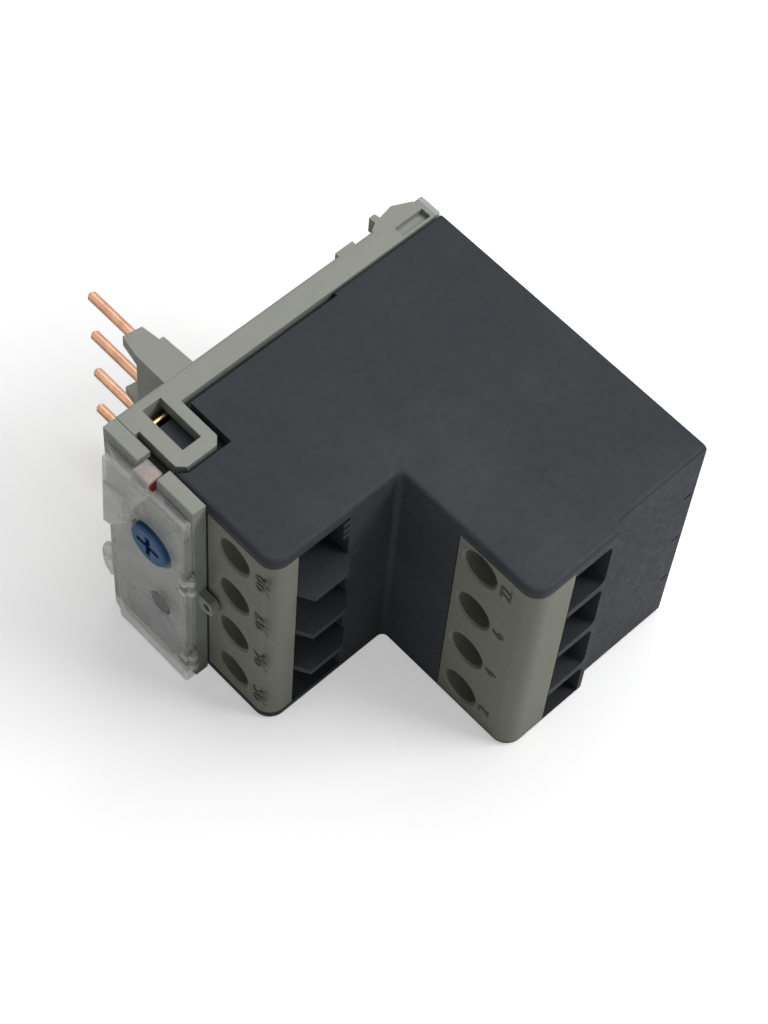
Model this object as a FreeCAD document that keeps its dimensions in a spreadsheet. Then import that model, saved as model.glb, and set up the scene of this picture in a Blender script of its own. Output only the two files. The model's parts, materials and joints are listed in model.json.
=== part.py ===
"""Direct-mount thermal overload relay, 45 mm module, lying on its side.

Frame: X runs from the contactor face towards the wires, Y from the front face
into the device, Z is the 45 mm module width with the relay resting on Z = 0.
Sizes are in millimetres and live in the spreadsheet called sizes.
"""
import FreeCAD, Part
import math
import os
import re

import Sketcher

os.makedirs("parts", exist_ok=True)
doc = FreeCAD.newDocument("overload_relay")
vector = FreeCAD.Vector

# Driving sizes: name, value, what it is
DRIVING = [
    ("width", 45.0, "module width, along Z"),
    ("seam", 0.1, "gap between neighbouring mouldings"),
    ("slip", 0.05, "radial clearance of a sliding or turning fit"),
    ("skin", 1.8, "side and front walls of the housing"),
    ("low_skin", 1.7, "lower side wall at the auxiliary terminals"),
    ("low_lip", 0.8, "lower side wall at the main terminals"),
    ("strip_w", 3.9, "contactor side cover, along X"),
    ("strip_web", 1.6, "web of the contactor side cover"),
    ("aux_face_x", 31.1, "wire face of the auxiliary terminals"),
    ("step_y", 22.4, "front face of the main terminals"),
    ("wire_face_x", 56.7, "wire face of the main terminals"),
    ("rear_face_x", 55.3, "wire face behind the main terminals"),
    ("jog_y", 37.6, "end of the main terminal part"),
    ("jog_run", 1.0, "slope behind the main terminal part"),
    ("back_y", 54.9, "back of the housing"),
    ("rear_t", 1.0, "rear plate thickness"),
    ("rear_lip", 0.7, "lip of the housing round the rear plate, depth"),
    ("rear_rim", 0.6, "lip of the housing round the rear plate, width"),
    ("corner_r", 2.75, "upright outer corners"),
    ("notch_r", 1.0, "upright inner corner"),
    ("rim_r", 0.8, "edges of the side faces"),
    ("block_x", 18.3, "auxiliary terminal block start"),
    ("aux_wrap", 4.6, "auxiliary block depth"),
    ("main_block_x", 42.4, "main terminal block start"),
    ("main_wrap", 7.4, "main block depth"),
    ("aux_edge", 6.69, "outer auxiliary screws from the side faces"),
    ("aux_hole_x", 23.5, "auxiliary screw line"),
    ("aux_hole_r", 2.9, "auxiliary screw well"),
    ("main_edge", 5.565, "outer main screws from the side faces"),
    ("main_hole_x", 46.6, "main screw line"),
    ("main_hole_r", 2.95, "main screw well"),
    ("well_lip", 0.35, "chamfer of the screw wells"),
    ("aux_cell_x", 19.0, "inner end of the auxiliary wire cells"),
    ("aux_cell_y", 13.6, "rear wall of the auxiliary wire cells"),
    ("aux_rib", 1.2, "ribs between auxiliary cells"),
    ("fin_reach", 2.1, "barrier fins beyond the wire face"),
    ("fin_slope", 1.2, "front slope of the barrier fins"),
    ("fin_flat", 5.9, "straight edge of the barrier fins"),
    ("fin_tail", 2.3, "rear slope of the barrier fins"),
    ("main_cell_x", 44.0, "inner end of the main wire cells"),
    ("main_cell_y", 36.7, "rear wall of the main wire cells"),
    ("main_rib", 1.6, "ribs between main cells"),
    ("main_cell_top", 2.7, "skin above the top main cell"),
    ("main_cell_r", 1.2, "rounded ends of the main cells"),
    ("room_x", 17.2, "mechanism chamber end"),
    ("room_z", 4.2, "mechanism chamber side wall at the latches"),
    ("room_y", 9.6, "depth of the latch zone"),
    ("neck_x", 29.5, "slide chamber end"),
    ("neck_y", 15.2, "slide chamber front"),
    ("heat_x", 40.8, "heater chamber end"),
    ("heat_y", 24.0, "heater chamber front"),
    ("deep_x", 53.7, "rear chamber end"),
    ("deep_y", 38.3, "rear chamber front"),
    ("barrier_t", 1.2, "phase barriers"),
    ("barrier_x", 28.0, "phase barrier start"),
    ("barrier_y", 26.0, "phase barrier front"),
    ("loop_t", 2.2, "loop latch thickness"),
    ("loop_y", 0.84, "loop latch front edge"),
    ("loop_w", 7.26, "loop latch width"),
    ("loop_x", 12.2, "loop latch end"),
    ("loop_cut", 1.1, "loop latch corner"),
    ("loop_gap", 0.8, "recess round the loop latch"),
    ("window_x", 1.7, "loop window start"),
    ("window_len", 8.15, "loop window length"),
    ("window_y", 3.2, "loop window front"),
    ("window_w", 3.2, "loop window width"),
    ("groove_y", 8.9, "groove beside the strip, start"),
    ("groove_len", 26.4, "groove length"),
    ("groove_w", 0.9, "groove width"),
    ("groove_d", 1.5, "groove depth"),
    ("pin_y", 13.7, "contact pins behind the front face"),
    ("pin_edge", 8.25, "outer contact pins from the side faces"),
    ("pin_r", 0.75, "contact pin radius"),
    ("pin_root", 0.85, "half width of the square roots of the pins"),
    ("pin_reach", 22.0, "contact pins beyond the contactor face"),
    ("pin_tip", 0.35, "chamfer of the pin tips"),
    ("pin_in", 8.0, "pins inside, up to the bend"),
    ("pin_bend", 2.0, "bend radius of the pins"),
    ("pin_foot", 27.8, "inner ends of the pins, along Y"),
    ("ear_reach", 9.1, "shroud ears beyond the contactor face"),
    ("ear_y", 8.3, "front of the shroud"),
    ("ear_w", 5.1, "width of the shroud ears"),
    ("ear_t", 2.2, "shroud ear thickness"),
    ("shroud_t", 1.5, "shroud wall and partitions"),
    ("shroud_x", 5.5, "shroud wall reach"),
    ("hook_t", 3.0, "end hooks, along Z"),
    ("hook_x", 1.9, "end hook reach"),
    ("hook_y", 47.6, "end hook"),
    ("bump_y", 39.9, "low bump"),
    ("bump_len", 3.2, "low bump length"),
    ("bump_x", 0.5, "low bump reach"),
    ("plate_x", 0.2, "front plate start"),
    ("plate_end", 18.2, "front plate end"),
    ("plate_y", 2.4, "front plate reach before the front face"),
    ("plate_t", 0.9, "front plate face thickness"),
    ("plate_rim", 1.2, "front plate rim"),
    ("gap_x", 7.2, "gap in the front plate edge"),
    ("gap_w", 3.9, "width of that gap"),
    ("cover_x", 1.3, "clear cover start"),
    ("cover_y", 4.1, "clear cover reach before the front face"),
    ("cover_t", 0.8, "clear cover wall"),
    ("cover_gap", 0.08, "clear cover over the plate"),
    ("cover_low", 0.2, "clear cover lower edge"),
    ("bevel_x", 3.75, "end of the cover's bevelled edge"),
    ("bulge_x", 2.4, "raised box of the cover, start"),
    ("bulge_w", 5.6, "raised box width"),
    ("bulge_y", 4.9, "raised box reach"),
    ("bulge_h", 5.8, "raised box height"),
    ("hinge_x", 18.7, "cover hinge"),
    ("hinge_y", 3.2, "cover hinge reach before the front face"),
    ("knuckle_r", 0.7, "hinge knuckles"),
    ("hinge_pin_r", 0.35, "hinge pins"),
    ("knuckle_h", 4.0, "hinge knuckle height"),
    ("knuckle_low", 4.6, "lower knuckle"),
    ("ear_slot", 1.4, "slot for the plate's hinge ear"),
    ("lug_z", 12.75, "middle of the cover lug"),
    ("lug_r", 4.2, "half height of the cover lug"),
    ("lug_reach", 1.7, "cover lug reach"),
    ("lug_t", 0.9, "cover lug thickness"),
    ("seal_h", 3.2, "sealing hook height"),
    ("seal_reach", 2.8, "sealing hook reach"),
    ("seal_t", 1.3, "sealing hook thickness"),
    ("seal_r", 0.7, "sealing hole"),
    ("dial_x", 11.6, "setting dial"),
    ("dial_r", 3.55, "setting dial radius"),
    ("dial_y", 4.0, "setting dial reach"),
    ("dial_t", 2.4, "setting dial thickness"),
    ("slot_w", 0.8, "cross slot width"),
    ("slot_len", 4.4, "cross slot length"),
    ("slot_d", 0.9, "cross slot depth"),
    ("shaft_r", 1.5, "dial shaft radius"),
    ("shaft_end", 4.4, "dial shaft end"),
    ("cam_y", 2.2, "dial cam front"),
    ("cam_t", 1.6, "dial cam thickness"),
    ("cam_r", 3.1, "dial cam radius at rest"),
    ("cam_rise", 1.0, "dial cam rise in a full turn"),
    ("follow_gap", 0.1, "gap between cam and follower"),
    ("nose_r", 0.6, "follower nose radius"),
    ("post_h", 3.6, "follower post, along Z"),
    ("arm_end", 5.0, "follower arm beyond the dial axis"),
    ("arm_h", 1.2, "follower arm height"),
    ("arm_y", 10.5, "inner end of the follower arm"),
    ("comp_y", 7.4, "start of the compensation strip"),
    ("comp_t", 0.6, "compensation strip thickness"),
    ("head_y", 3.2, "button heads reach"),
    ("head_t", 1.6, "button head thickness"),
    ("skirt_t", 1.0, "button skirt"),
    ("boss_end", 5.0, "guide bosses inside"),
    ("boss_floor", 0.8, "floor of the spring wells"),
    ("boss_wall", 0.5, "wall of the spring wells"),
    ("reset_well_r", 2.2, "spring well of the reset button"),
    ("stop_well_r", 1.8, "spring well of the stop button"),
    ("test_well_r", 1.6, "spring well of the test button"),
    ("stem_end", 7.8, "button stems inside"),
    ("barb_t", 0.7, "button barbs"),
    ("barb_r", 0.35, "button barbs beyond the stem"),
    ("coil_t", 0.3, "spring turns, thickness"),
    ("coil_w", 0.5, "spring turns, width"),
    ("reset_x", 10.9, "reset button"),
    ("reset_z", 8.4, "reset button height"),
    ("reset_r", 2.9, "reset button radius"),
    ("stop_x", 9.2, "stop button"),
    ("stop_r", 1.8, "stop button radius"),
    ("test_x", 13.0, "test button"),
    ("test_r", 1.7, "test button radius"),
    ("stem_r", 0.9, "button stem radius"),
    ("metal_t", 1.2, "terminal bars"),
    ("bar_h", 5.0, "terminal bar height"),
    ("bar_y", 34.0, "terminal bars in the main cells"),
    ("bar_end", 50.4, "terminal bars, outer end"),
    ("bar_turn_x", 37.5, "terminal bars, turn"),
    ("bar_back_y", 51.0, "terminal bars, rear run"),
    ("strip_x", 20.0, "bimetal strips"),
    ("bimetal_w", 5.0, "bimetal width"),
    ("bimetal_t", 0.8, "bimetal thickness"),
    ("bimetal_y", 20.2, "bimetal tips"),
    ("winding_y", 29.0, "heater winding start"),
    ("winding_n", 9.0, "heater turns"),
    ("winding_pitch", 1.9, "heater turn pitch"),
    ("winding_gap", 0.5, "insulation round the bimetal"),
    ("winding_t", 0.9, "heater ribbon"),
    ("slide_y", 21.0, "trip slide front"),
    ("slide_t", 1.2, "trip slide thickness"),
    ("slide_x", 18.4, "trip slide start"),
    ("slide_w", 8.2, "trip slide width"),
    ("slide_play", 0.3, "gap between bimetal and slide"),
    ("slide_run", 1.8, "slide window beyond the bimetal"),
    ("pivot_y", 16.4, "rocker pivot"),
    ("pivot_r", 0.8, "rocker pivot radius"),
    ("rocker_x", 12.4, "rocker start"),
    ("rocker_w", 3.0, "rocker width"),
    ("rocker_t", 1.0, "rocker thickness"),
    ("rocker_tail", 5.8, "rocker tail under the slide arm"),
    ("rocker_nose", 6.4, "rocker nose at the contacts"),
    ("screw_r", 1.5, "terminal screw shanks, M3"),
    ("screw_head_r", 2.35, "terminal screw heads"),
    ("screw_head_t", 2.0, "terminal screw head height"),
    ("clamp_t", 0.9, "terminal clamp plates"),
    ("clamp_w", 5.0, "terminal clamp plates, square"),
    ("aux_head_y", 4.9, "auxiliary screw heads"),
    ("main_head_y", 27.9, "main screw heads"),
    ("aux_bar_y", 11.4, "auxiliary contact plates"),
    ("leaf_t", 0.8, "auxiliary contact plate thickness"),
    ("coil_pin_r", 0.45, "small link pin"),
    ("frame_t", 1.0, "cheeks of the mechanism frame"),
    ("frame_w", 3.2, "mechanism frame, along Y"),
    ("bridge_t", 0.5, "moving contact bridges"),
    ("bridge_w", 0.8, "width of the contact bridges"),
    ("no_gap", 1.8, "open contact gap"),
    ("nc_gap", 0.08, "closed contact gap"),
    ("leg_x", 5.6, "left contact legs"),
    ("leg_w", 2.4, "width of the left contact legs"),
    ("tip_x", 15.9, "right contact legs"),
    ("tab_x", 7.6, "cover tab over the stop button"),
    ("tab_w", 3.2, "cover tab width"),
    ("guide_w", 1.0, "guide ribs of the adjusting slide"),
]

# Sizes worked out from the driving ones: name, formula
WORKED_OUT = [
    ("hull_x", "strip_w + seam"),
    ("mid_z", "width / 2"),
    ("aux_pitch", "(width - 2 * aux_edge) / 3"),
    ("main_pitch", "(width - 2 * main_edge) / 3"),
    ("pin_pitch", "(width - 2 * pin_edge) / 3"),
    ("main_cell_pitch", "main_pitch + 0.11"),
    ("main_cell_h", "main_cell_pitch - main_rib"),
    ("cover_top", "width - 1.8"),
    ("tab_top", "width - seam"),
    ("bulge_low", "mid_z + 8.5"),
    ("bulge_top", "width - 2.4"),
    ("knuckle_high", "mid_z + 3.5"),
    ("seal_z", "mid_z - 0.9"),
    ("dial_z", "mid_z + 8.7"),
    ("test_z", "mid_z - 5.7"),
    ("stop_z", "width - 2.8"),
    ("stop_stem_z", "width - 7.1"),
    ("coil_pin_z", "width - 3.1"),
    ("pivot_z", "mid_z"),
    ("frame_top", "mid_z + 1.7"),
    ("slide_low", "mid_z - 14.5"),
    ("slide_high", "mid_z + 20.4"),
    ("shift_x", "-(wire_face_x - pin_reach) / 2"),
    ("shift_y", "-(back_y + rear_t - bulge_y) / 2"),
    ("loop_end_y", "loop_y + loop_w"),
    ("plate_back", "-seam"),
    ("cover_back", "-(plate_y + cover_gap)"),
    ("cover_in", "-(cover_y - cover_t)"),
    ("cover_end", "plate_end"),
    ("pole_low", "(width - main_pitch) / 2"),
    ("coil_well_end", "boss_end - boss_floor"),
    ("nose_z", "dial_z + cam_r + follow_gap"),
    ("contact_low", "pivot_z - rocker_t / 2 - bridge_t"),
    ("contact_high", "pivot_z + rocker_t / 2 + bridge_t"),
]

NAME = re.compile(r"[a-z][a-z_]*")
MATHS = {"sqrt", "sin", "cos", "tan", "min", "max", "abs"}

sheet = doc.addObject("Spreadsheet::Sheet", "sizes")
for row, (alias, size, meaning) in enumerate(DRIVING, start=1):
    sheet.set("A%d" % row, alias)
    sheet.set("B%d" % row, repr(size))
    sheet.setAlias("B%d" % row, alias)
    sheet.set("C%d" % row, meaning)
for row, (alias, formula) in enumerate(WORKED_OUT, start=len(DRIVING) + 1):
    sheet.set("A%d" % row, alias)
    sheet.set("B%d" % row, "=" + formula)
    sheet.setAlias("B%d" % row, alias)
doc.recompute()


def tied(text):
    """Expression text whose size names point at the sheet."""
    def point(match):
        word = match.group(0)
        return word if word in MATHS else "sizes." + word
    return NAME.sub(point, str(text))


def number(text):
    """The present value of an expression."""
    return float(sheet.evalExpression(tied(text)))


def bind(thing, path, text):
    thing.setExpression(path, tied(text))


# --- Part Design helpers ---------------------------------------------------

def new_body(label):
    body = doc.addObject("PartDesign::Body", label)
    body.Label = label
    return body


def sketch_on(body, role, level):
    """An empty sketch parallel to one of the body's own origin planes."""
    sketch = body.newObject("Sketcher::SketchObject", body.Name + "_sketch")
    plane = [item for item in body.Origin.OriginFeatures if item.Role == role][0]
    sketch.AttachmentSupport = [(plane, "")]
    sketch.MapMode = "FlatFace"
    bind(sketch, "AttachmentOffset.Base.z", level)
    return sketch


def pinned(sketch, geometry, spot, u, v):
    """Tie one point of a sketch to the sketch origin in both directions."""
    across = sketch.addConstraint(
        Sketcher.Constraint("DistanceX", -1, 1, geometry, spot, number(u)))
    bind(sketch, "Constraints[%d]" % across, u)
    upward = sketch.addConstraint(
        Sketcher.Constraint("DistanceY", -1, 1, geometry, spot, number(v)))
    bind(sketch, "Constraints[%d]" % upward, v)


def outline(sketch, points):
    """A closed polygon whose corners are pairs of expressions."""
    corners = [vector(number(u), number(v), 0) for u, v in points]
    first = sketch.GeometryCount
    count = len(points)
    for index in range(count):
        sketch.addGeometry(Part.LineSegment(corners[index], corners[(index + 1) % count]))
    for index in range(count):
        following = first + (index + 1) % count
        sketch.addConstraint(Sketcher.Constraint("Coincident", first + index, 2, following, 1))
    for index, (u, v) in enumerate(points):
        pinned(sketch, first + index, 1, u, v)


def rectangle(sketch, left, right, low, high):
    outline(sketch, [(left, low), (right, low), (right, high), (left, high)])


def ring(sketch, u, v, radius):
    circle = Part.Circle(vector(number(u), number(v), 0), vector(0, 0, 1), number(radius))
    geometry = sketch.addGeometry(circle)
    pinned(sketch, geometry, 3, u, v)
    size = sketch.addConstraint(Sketcher.Constraint("Radius", geometry, number(radius)))
    bind(sketch, "Constraints[%d]" % size, radius)


def pad(body, sketch, length):
    """Material on the side the sketch's normal points to."""
    feature = body.newObject("PartDesign::Pad", body.Name + "_pad")
    feature.Profile = sketch
    bind(feature, "Length", length)
    return feature


def pocket(body, sketch, length):
    """A cut on the side opposite to the sketch's normal."""
    feature = body.newObject("PartDesign::Pocket", body.Name + "_pocket")
    feature.Profile = sketch
    bind(feature, "Length", length)
    return feature


def dress(body, kind, size, chosen):
    """Fillet or chamfer the edges of the present tip that chosen accepts."""
    doc.recompute()
    base = body.Tip
    names = ["Edge%d" % (index + 1) for index, edge in enumerate(base.Shape.Edges)
             if chosen(edge)]
    feature = body.newObject("PartDesign::" + kind, body.Name + "_" + kind.lower())
    feature.Base = (base, names)
    bind(feature, "Radius" if kind == "Fillet" else "Size", size)
    return feature


def upright(edge):
    """True for a straight edge along Z."""
    ends = [vertex.Point for vertex in edge.Vertexes]
    if len(ends) != 2:
        return False
    return abs(ends[0].x - ends[1].x) < 1e-6 and abs(ends[0].y - ends[1].y) < 1e-6


def stands_at(edge, x, y):
    """True for an upright edge at the place that two expressions give."""
    place = edge.Vertexes[0].Point
    return upright(edge) and math.hypot(place.x - number(x), place.y - number(y)) < 1e-4


def lies_at(edge, axis, level):
    """True where a whole edge lies in the plane axis = level."""
    box = edge.BoundBox
    low = getattr(box, axis + "Min")
    high = getattr(box, axis + "Max")
    return abs(low - level) < 1e-4 and abs(high - level) < 1e-4


# --- Part helpers ----------------------------------------------------------

def brick(name, x0, x1, y0, y1, z0, z1):
    box = doc.addObject("Part::Box", name)
    for side, low, high, axis in (("Length", x0, x1, "x"), ("Width", y0, y1, "y"),
                                  ("Height", z0, z1, "z")):
        bind(box, side, "(%s) - (%s)" % (high, low))
        bind(box, "Placement.Base." + axis, low)
    return box


TURNS = {
    "x": FreeCAD.Rotation(vector(0, 1, 0), 90),
    "y": FreeCAD.Rotation(vector(1, 0, 0), -90),
    "z": FreeCAD.Rotation(),
}


def rod(name, axis, x, y, z, radius, length):
    """A cylinder that starts at x, y, z and runs along +axis."""
    bar = doc.addObject("Part::Cylinder", name)
    bar.Placement = FreeCAD.Placement(vector(), TURNS[axis])
    bind(bar, "Placement.Base.x", x)
    bind(bar, "Placement.Base.y", y)
    bind(bar, "Placement.Base.z", z)
    bind(bar, "Radius", radius)
    bind(bar, "Height", length)
    return bar


def joined(name, shapes):
    whole = doc.addObject("Part::MultiFuse", name)
    whole.Shapes = shapes
    return whole


def without(name, base, tool):
    whole = doc.addObject("Part::Cut", name)
    whole.Base = base
    whole.Tool = tool
    return whole


def group(label, solids):
    """Separate solids of one kind in one node."""
    whole = doc.addObject("Part::Compound", label)
    whole.Links = solids
    whole.Label = label
    return whole


nodes = {}


def keep(label, thing):
    """Name a finished sub-part and move it to the row's origin."""
    thing.Label = label
    bind(thing, "Placement.Base.x", "shift_x")
    bind(thing, "Placement.Base.y", "shift_y")
    nodes[label] = thing


def row_z(index, pitch, count=4):
    """Height of the terminal or pin at this place in its row, top first."""
    return "mid_z + (%g) * %s" % ((count - 1) / 2 - index, pitch)


# --- Housing ---------------------------------------------------------------

HULL_OUTLINE = [
    ("hull_x", "0"), ("aux_face_x", "0"), ("aux_face_x", "step_y"),
    ("wire_face_x", "step_y"), ("wire_face_x", "jog_y"),
    ("rear_face_x", "jog_y + jog_run"), ("rear_face_x", "back_y + rear_lip"),
    ("hull_x", "back_y + rear_lip")]
INNER_OUTLINE = [
    ("hull_x - 1", "room_y"), ("room_x", "room_y"), ("room_x", "neck_y"),
    ("neck_x", "neck_y"), ("neck_x", "heat_y"), ("heat_x", "heat_y"),
    ("heat_x", "deep_y"), ("deep_x", "deep_y"), ("deep_x", "back_y - skin"),
    ("hull_x - 1", "back_y - skin")]
LATCH_RECESS = [
    ("hull_x - 1", "-1"), ("loop_x - loop_cut + loop_gap", "-1"),
    ("loop_x - loop_cut + loop_gap", "loop_y - loop_gap"),
    ("loop_x + loop_gap", "loop_y + loop_cut - loop_gap / 2"),
    ("loop_x + loop_gap", "loop_end_y + loop_gap"),
    ("hull_x - 1", "loop_end_y + loop_gap")]
BUTTONS = [
    ("reset", "reset_x", "reset_z"), ("stop", "stop_x", "stop_stem_z"),
    ("test", "test_x", "test_z")]


def aux_rib_z(index):
    """Middle height of a rib between auxiliary cells."""
    return "mid_z + (%d) * aux_pitch" % (1 - index)


def main_housing():
    """Black moulded shell: L-shaped, open to the contactor side cover."""
    body = new_body("main_housing")
    sketch = sketch_on(body, "XY_Plane", "0")
    outline(sketch, HULL_OUTLINE)
    pad(body, sketch, "width")
    dress(body, "Fillet", "corner_r", lambda edge: stands_at(edge, "aux_face_x", "0")
          or stands_at(edge, "wire_face_x", "step_y"))
    dress(body, "Fillet", "notch_r", lambda edge: stands_at(edge, "aux_face_x", "step_y"))
    top = number("width")
    dress(body, "Fillet", "rim_r", lambda edge: (lies_at(edge, "Z", top)
                                                or lies_at(edge, "Z", 0.0))
          and not lies_at(edge, "Y", number("back_y + rear_lip")))

    # Recess of the rear plate
    sketch = sketch_on(body, "XZ_Plane", "-back_y")
    rectangle(sketch, "hull_x - 1", "rear_face_x - rear_rim", "rear_rim", "width - rear_rim")
    pocket(body, sketch, "rear_lip + 1")

    # Seats of the two terminal blocks
    sketch = sketch_on(body, "XY_Plane", "width - skin")
    rectangle(sketch, "block_x", "aux_face_x + 3", "-1", "aux_wrap")
    pocket(body, sketch, "width - skin - low_skin")
    sketch = sketch_on(body, "XY_Plane", "width - skin")
    rectangle(sketch, "main_block_x", "wire_face_x + 3", "step_y - 1", "step_y + main_wrap")
    pocket(body, sketch, "width - skin - low_lip")

    # Wire cells, open on the wire faces
    sketch = sketch_on(body, "YZ_Plane", "aux_face_x + 3")
    for index in range(4):
        top_z = "width - skin" if index == 0 else aux_rib_z(index - 1) + " - aux_rib / 2"
        low_z = "low_skin" if index == 3 else aux_rib_z(index) + " + aux_rib / 2"
        rectangle(sketch, "aux_wrap - 0.01", "aux_cell_y", low_z, top_z)
    pocket(body, sketch, "aux_face_x + 3 - aux_cell_x")
    sketch = sketch_on(body, "YZ_Plane", "wire_face_x + 1")
    for index in range(4):
        top_z = "width - main_cell_top - %d * main_cell_pitch" % index
        low_z = "low_lip" if index == 3 else top_z + " - main_cell_h"
        rectangle(sketch, "step_y + main_wrap - 0.01", "main_cell_y", low_z, top_z)
    pocket(body, sketch, "wire_face_x + 1 - main_cell_x")
    cell_back = number("main_cell_y")
    dress(body, "Fillet", "main_cell_r", lambda edge: lies_at(edge, "Y", cell_back)
          and edge.BoundBox.XLength > number("wire_face_x - main_cell_x") - 0.5
          and edge.BoundBox.ZLength < 1e-6 and edge.BoundBox.ZMax > number("low_lip") + 0.1)

    # Barrier fins between the auxiliary wire entries
    for index in range(3):
        sketch = sketch_on(body, "XY_Plane", aux_rib_z(index) + " - aux_rib / 2")
        outline(sketch, [
            ("aux_face_x - 0.6", "aux_wrap + seam"), ("aux_face_x", "aux_wrap + seam"),
            ("aux_face_x + fin_reach", "aux_wrap + seam + fin_slope"),
            ("aux_face_x + fin_reach", "aux_wrap + seam + fin_slope + fin_flat"),
            ("aux_face_x", "aux_wrap + seam + fin_slope + fin_flat + fin_tail"),
            ("aux_face_x - 0.6", "aux_wrap + seam + fin_slope + fin_flat + fin_tail")])
        pad(body, sketch, "aux_rib")

    # Chambers: mechanism, slide, heaters and rear
    sketch = sketch_on(body, "XY_Plane", "width - skin")
    outline(sketch, INNER_OUTLINE)
    pocket(body, sketch, "width - 2 * skin")
    sketch = sketch_on(body, "XY_Plane", "width - room_z")
    rectangle(sketch, "hull_x - 1", "room_x", "skin", "room_y + 0.01")
    pocket(body, sketch, "width - 2 * room_z")

    # Phase barriers in line with the main ribs
    for index in range(3):
        sketch = sketch_on(body, "XY_Plane",
                           "mid_z + (%d) * main_pitch - barrier_t / 2" % (1 - index))
        outline(sketch, [
            ("barrier_x", "barrier_y"), ("heat_x + 0.2", "barrier_y"),
            ("heat_x + 0.2", "deep_y - 0.2"), ("deep_x + 0.2", "deep_y - 0.2"),
            ("deep_x + 0.2", "back_y - skin + 0.2"), ("barrier_x", "back_y - skin + 0.2")])
        pad(body, sketch, "barrier_t")

    # Slots that the terminal bars and contact plates pass through
    sketch = sketch_on(body, "YZ_Plane", "main_cell_x + 0.2")
    for index in range(4):
        middle = row_z(index, "main_pitch")
        rectangle(sketch, "bar_y - slip", "bar_y + metal_t + slip",
                  middle + " - bar_h / 2 - slip", middle + " + bar_h / 2 + slip")
    pocket(body, sketch, "main_cell_x - heat_x + 0.4")
    sketch = sketch_on(body, "YZ_Plane", "aux_cell_x + 0.2")
    for index in range(4):
        middle = row_z(index, "aux_pitch")
        rectangle(sketch, "aux_bar_y - slip", "aux_bar_y + leaf_t + slip",
                  middle + " - clamp_w / 2 - slip", middle + " + clamp_w / 2 + slip")
    pocket(body, sketch, "aux_cell_x - room_x + 0.4")

    # Guide bosses and spring wells of the buttons, bearing of the dial
    for name, x, z in BUTTONS:
        sketch = sketch_on(body, "XZ_Plane", "-boss_end")
        ring(sketch, x, z, "%s_well_r + boss_wall" % name)
        pad(body, sketch, "boss_end - skin + 0.2")
    for name, x, z in BUTTONS:
        sketch = sketch_on(body, "XZ_Plane", "1")
        ring(sketch, x, z, "%s_well_r" % name)
        pocket(body, sketch, "1 + coil_well_end")
        sketch = sketch_on(body, "XZ_Plane", "1")
        ring(sketch, x, z, "stem_r + slip")
        pocket(body, sketch, "2 + boss_end")
    sketch = sketch_on(body, "XZ_Plane", "1")
    ring(sketch, "dial_x", "dial_z", "shaft_r + slip")
    pocket(body, sketch, "1.5 + skin")

    # Guide ribs of the adjusting slide
    sketch = sketch_on(body, "XZ_Plane", "-(cam_y + cam_t - 0.15)")
    for left in ("dial_x + nose_r - slip - guide_w", "dial_x + 3 * nose_r + slip"):
        rectangle(sketch, left, left + " + guide_w", "nose_z + 3 * nose_r", "nose_z + 4")
    pad(body, sketch, "cam_y + cam_t - 0.15 - skin + 0.2")

    # Recesses of the loop latches and the groove beside the strip, both sides
    for level, depth in (("width", "loop_t + 0.2"), ("loop_t + 0.2", "loop_t + 1")):
        sketch = sketch_on(body, "XY_Plane", level)
        outline(sketch, LATCH_RECESS)
        pocket(body, sketch, depth)
    for level, depth in (("width", "groove_d"), ("groove_d", "groove_d + 1")):
        sketch = sketch_on(body, "XY_Plane", level)
        rectangle(sketch, "hull_x - 1", "hull_x + groove_w", "groove_y", "groove_y + groove_len")
        pocket(body, sketch, depth)
    keep("main_housing", body)


# --- Contactor side cover --------------------------------------------------

SHROUD_EAR = [
    ("0.3", "ear_y"), ("0.3", "ear_y + ear_w"), ("-shroud_x", "ear_y + ear_w - 0.3"),
    ("-shroud_x", "ear_y + ear_w - 1.0"), ("-(ear_reach - 0.5)", "ear_y + ear_w - 1.4"),
    ("-ear_reach", "ear_y + 0.7"), ("-shroud_x", "ear_y")]
END_HOOK = [
    ("0.4", "hook_y - 1.25"), ("0", "hook_y - 1.25"), ("-hook_x / 3", "hook_y"),
    ("-hook_x", "hook_y"), ("-hook_x", "hook_y + 1"), ("-hook_x / 2", "hook_y + 1.2"),
    ("-hook_x * 0.75", "hook_y + 3.7"), ("0", "back_y - 0.7"), ("0.4", "back_y - 0.7")]


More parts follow.
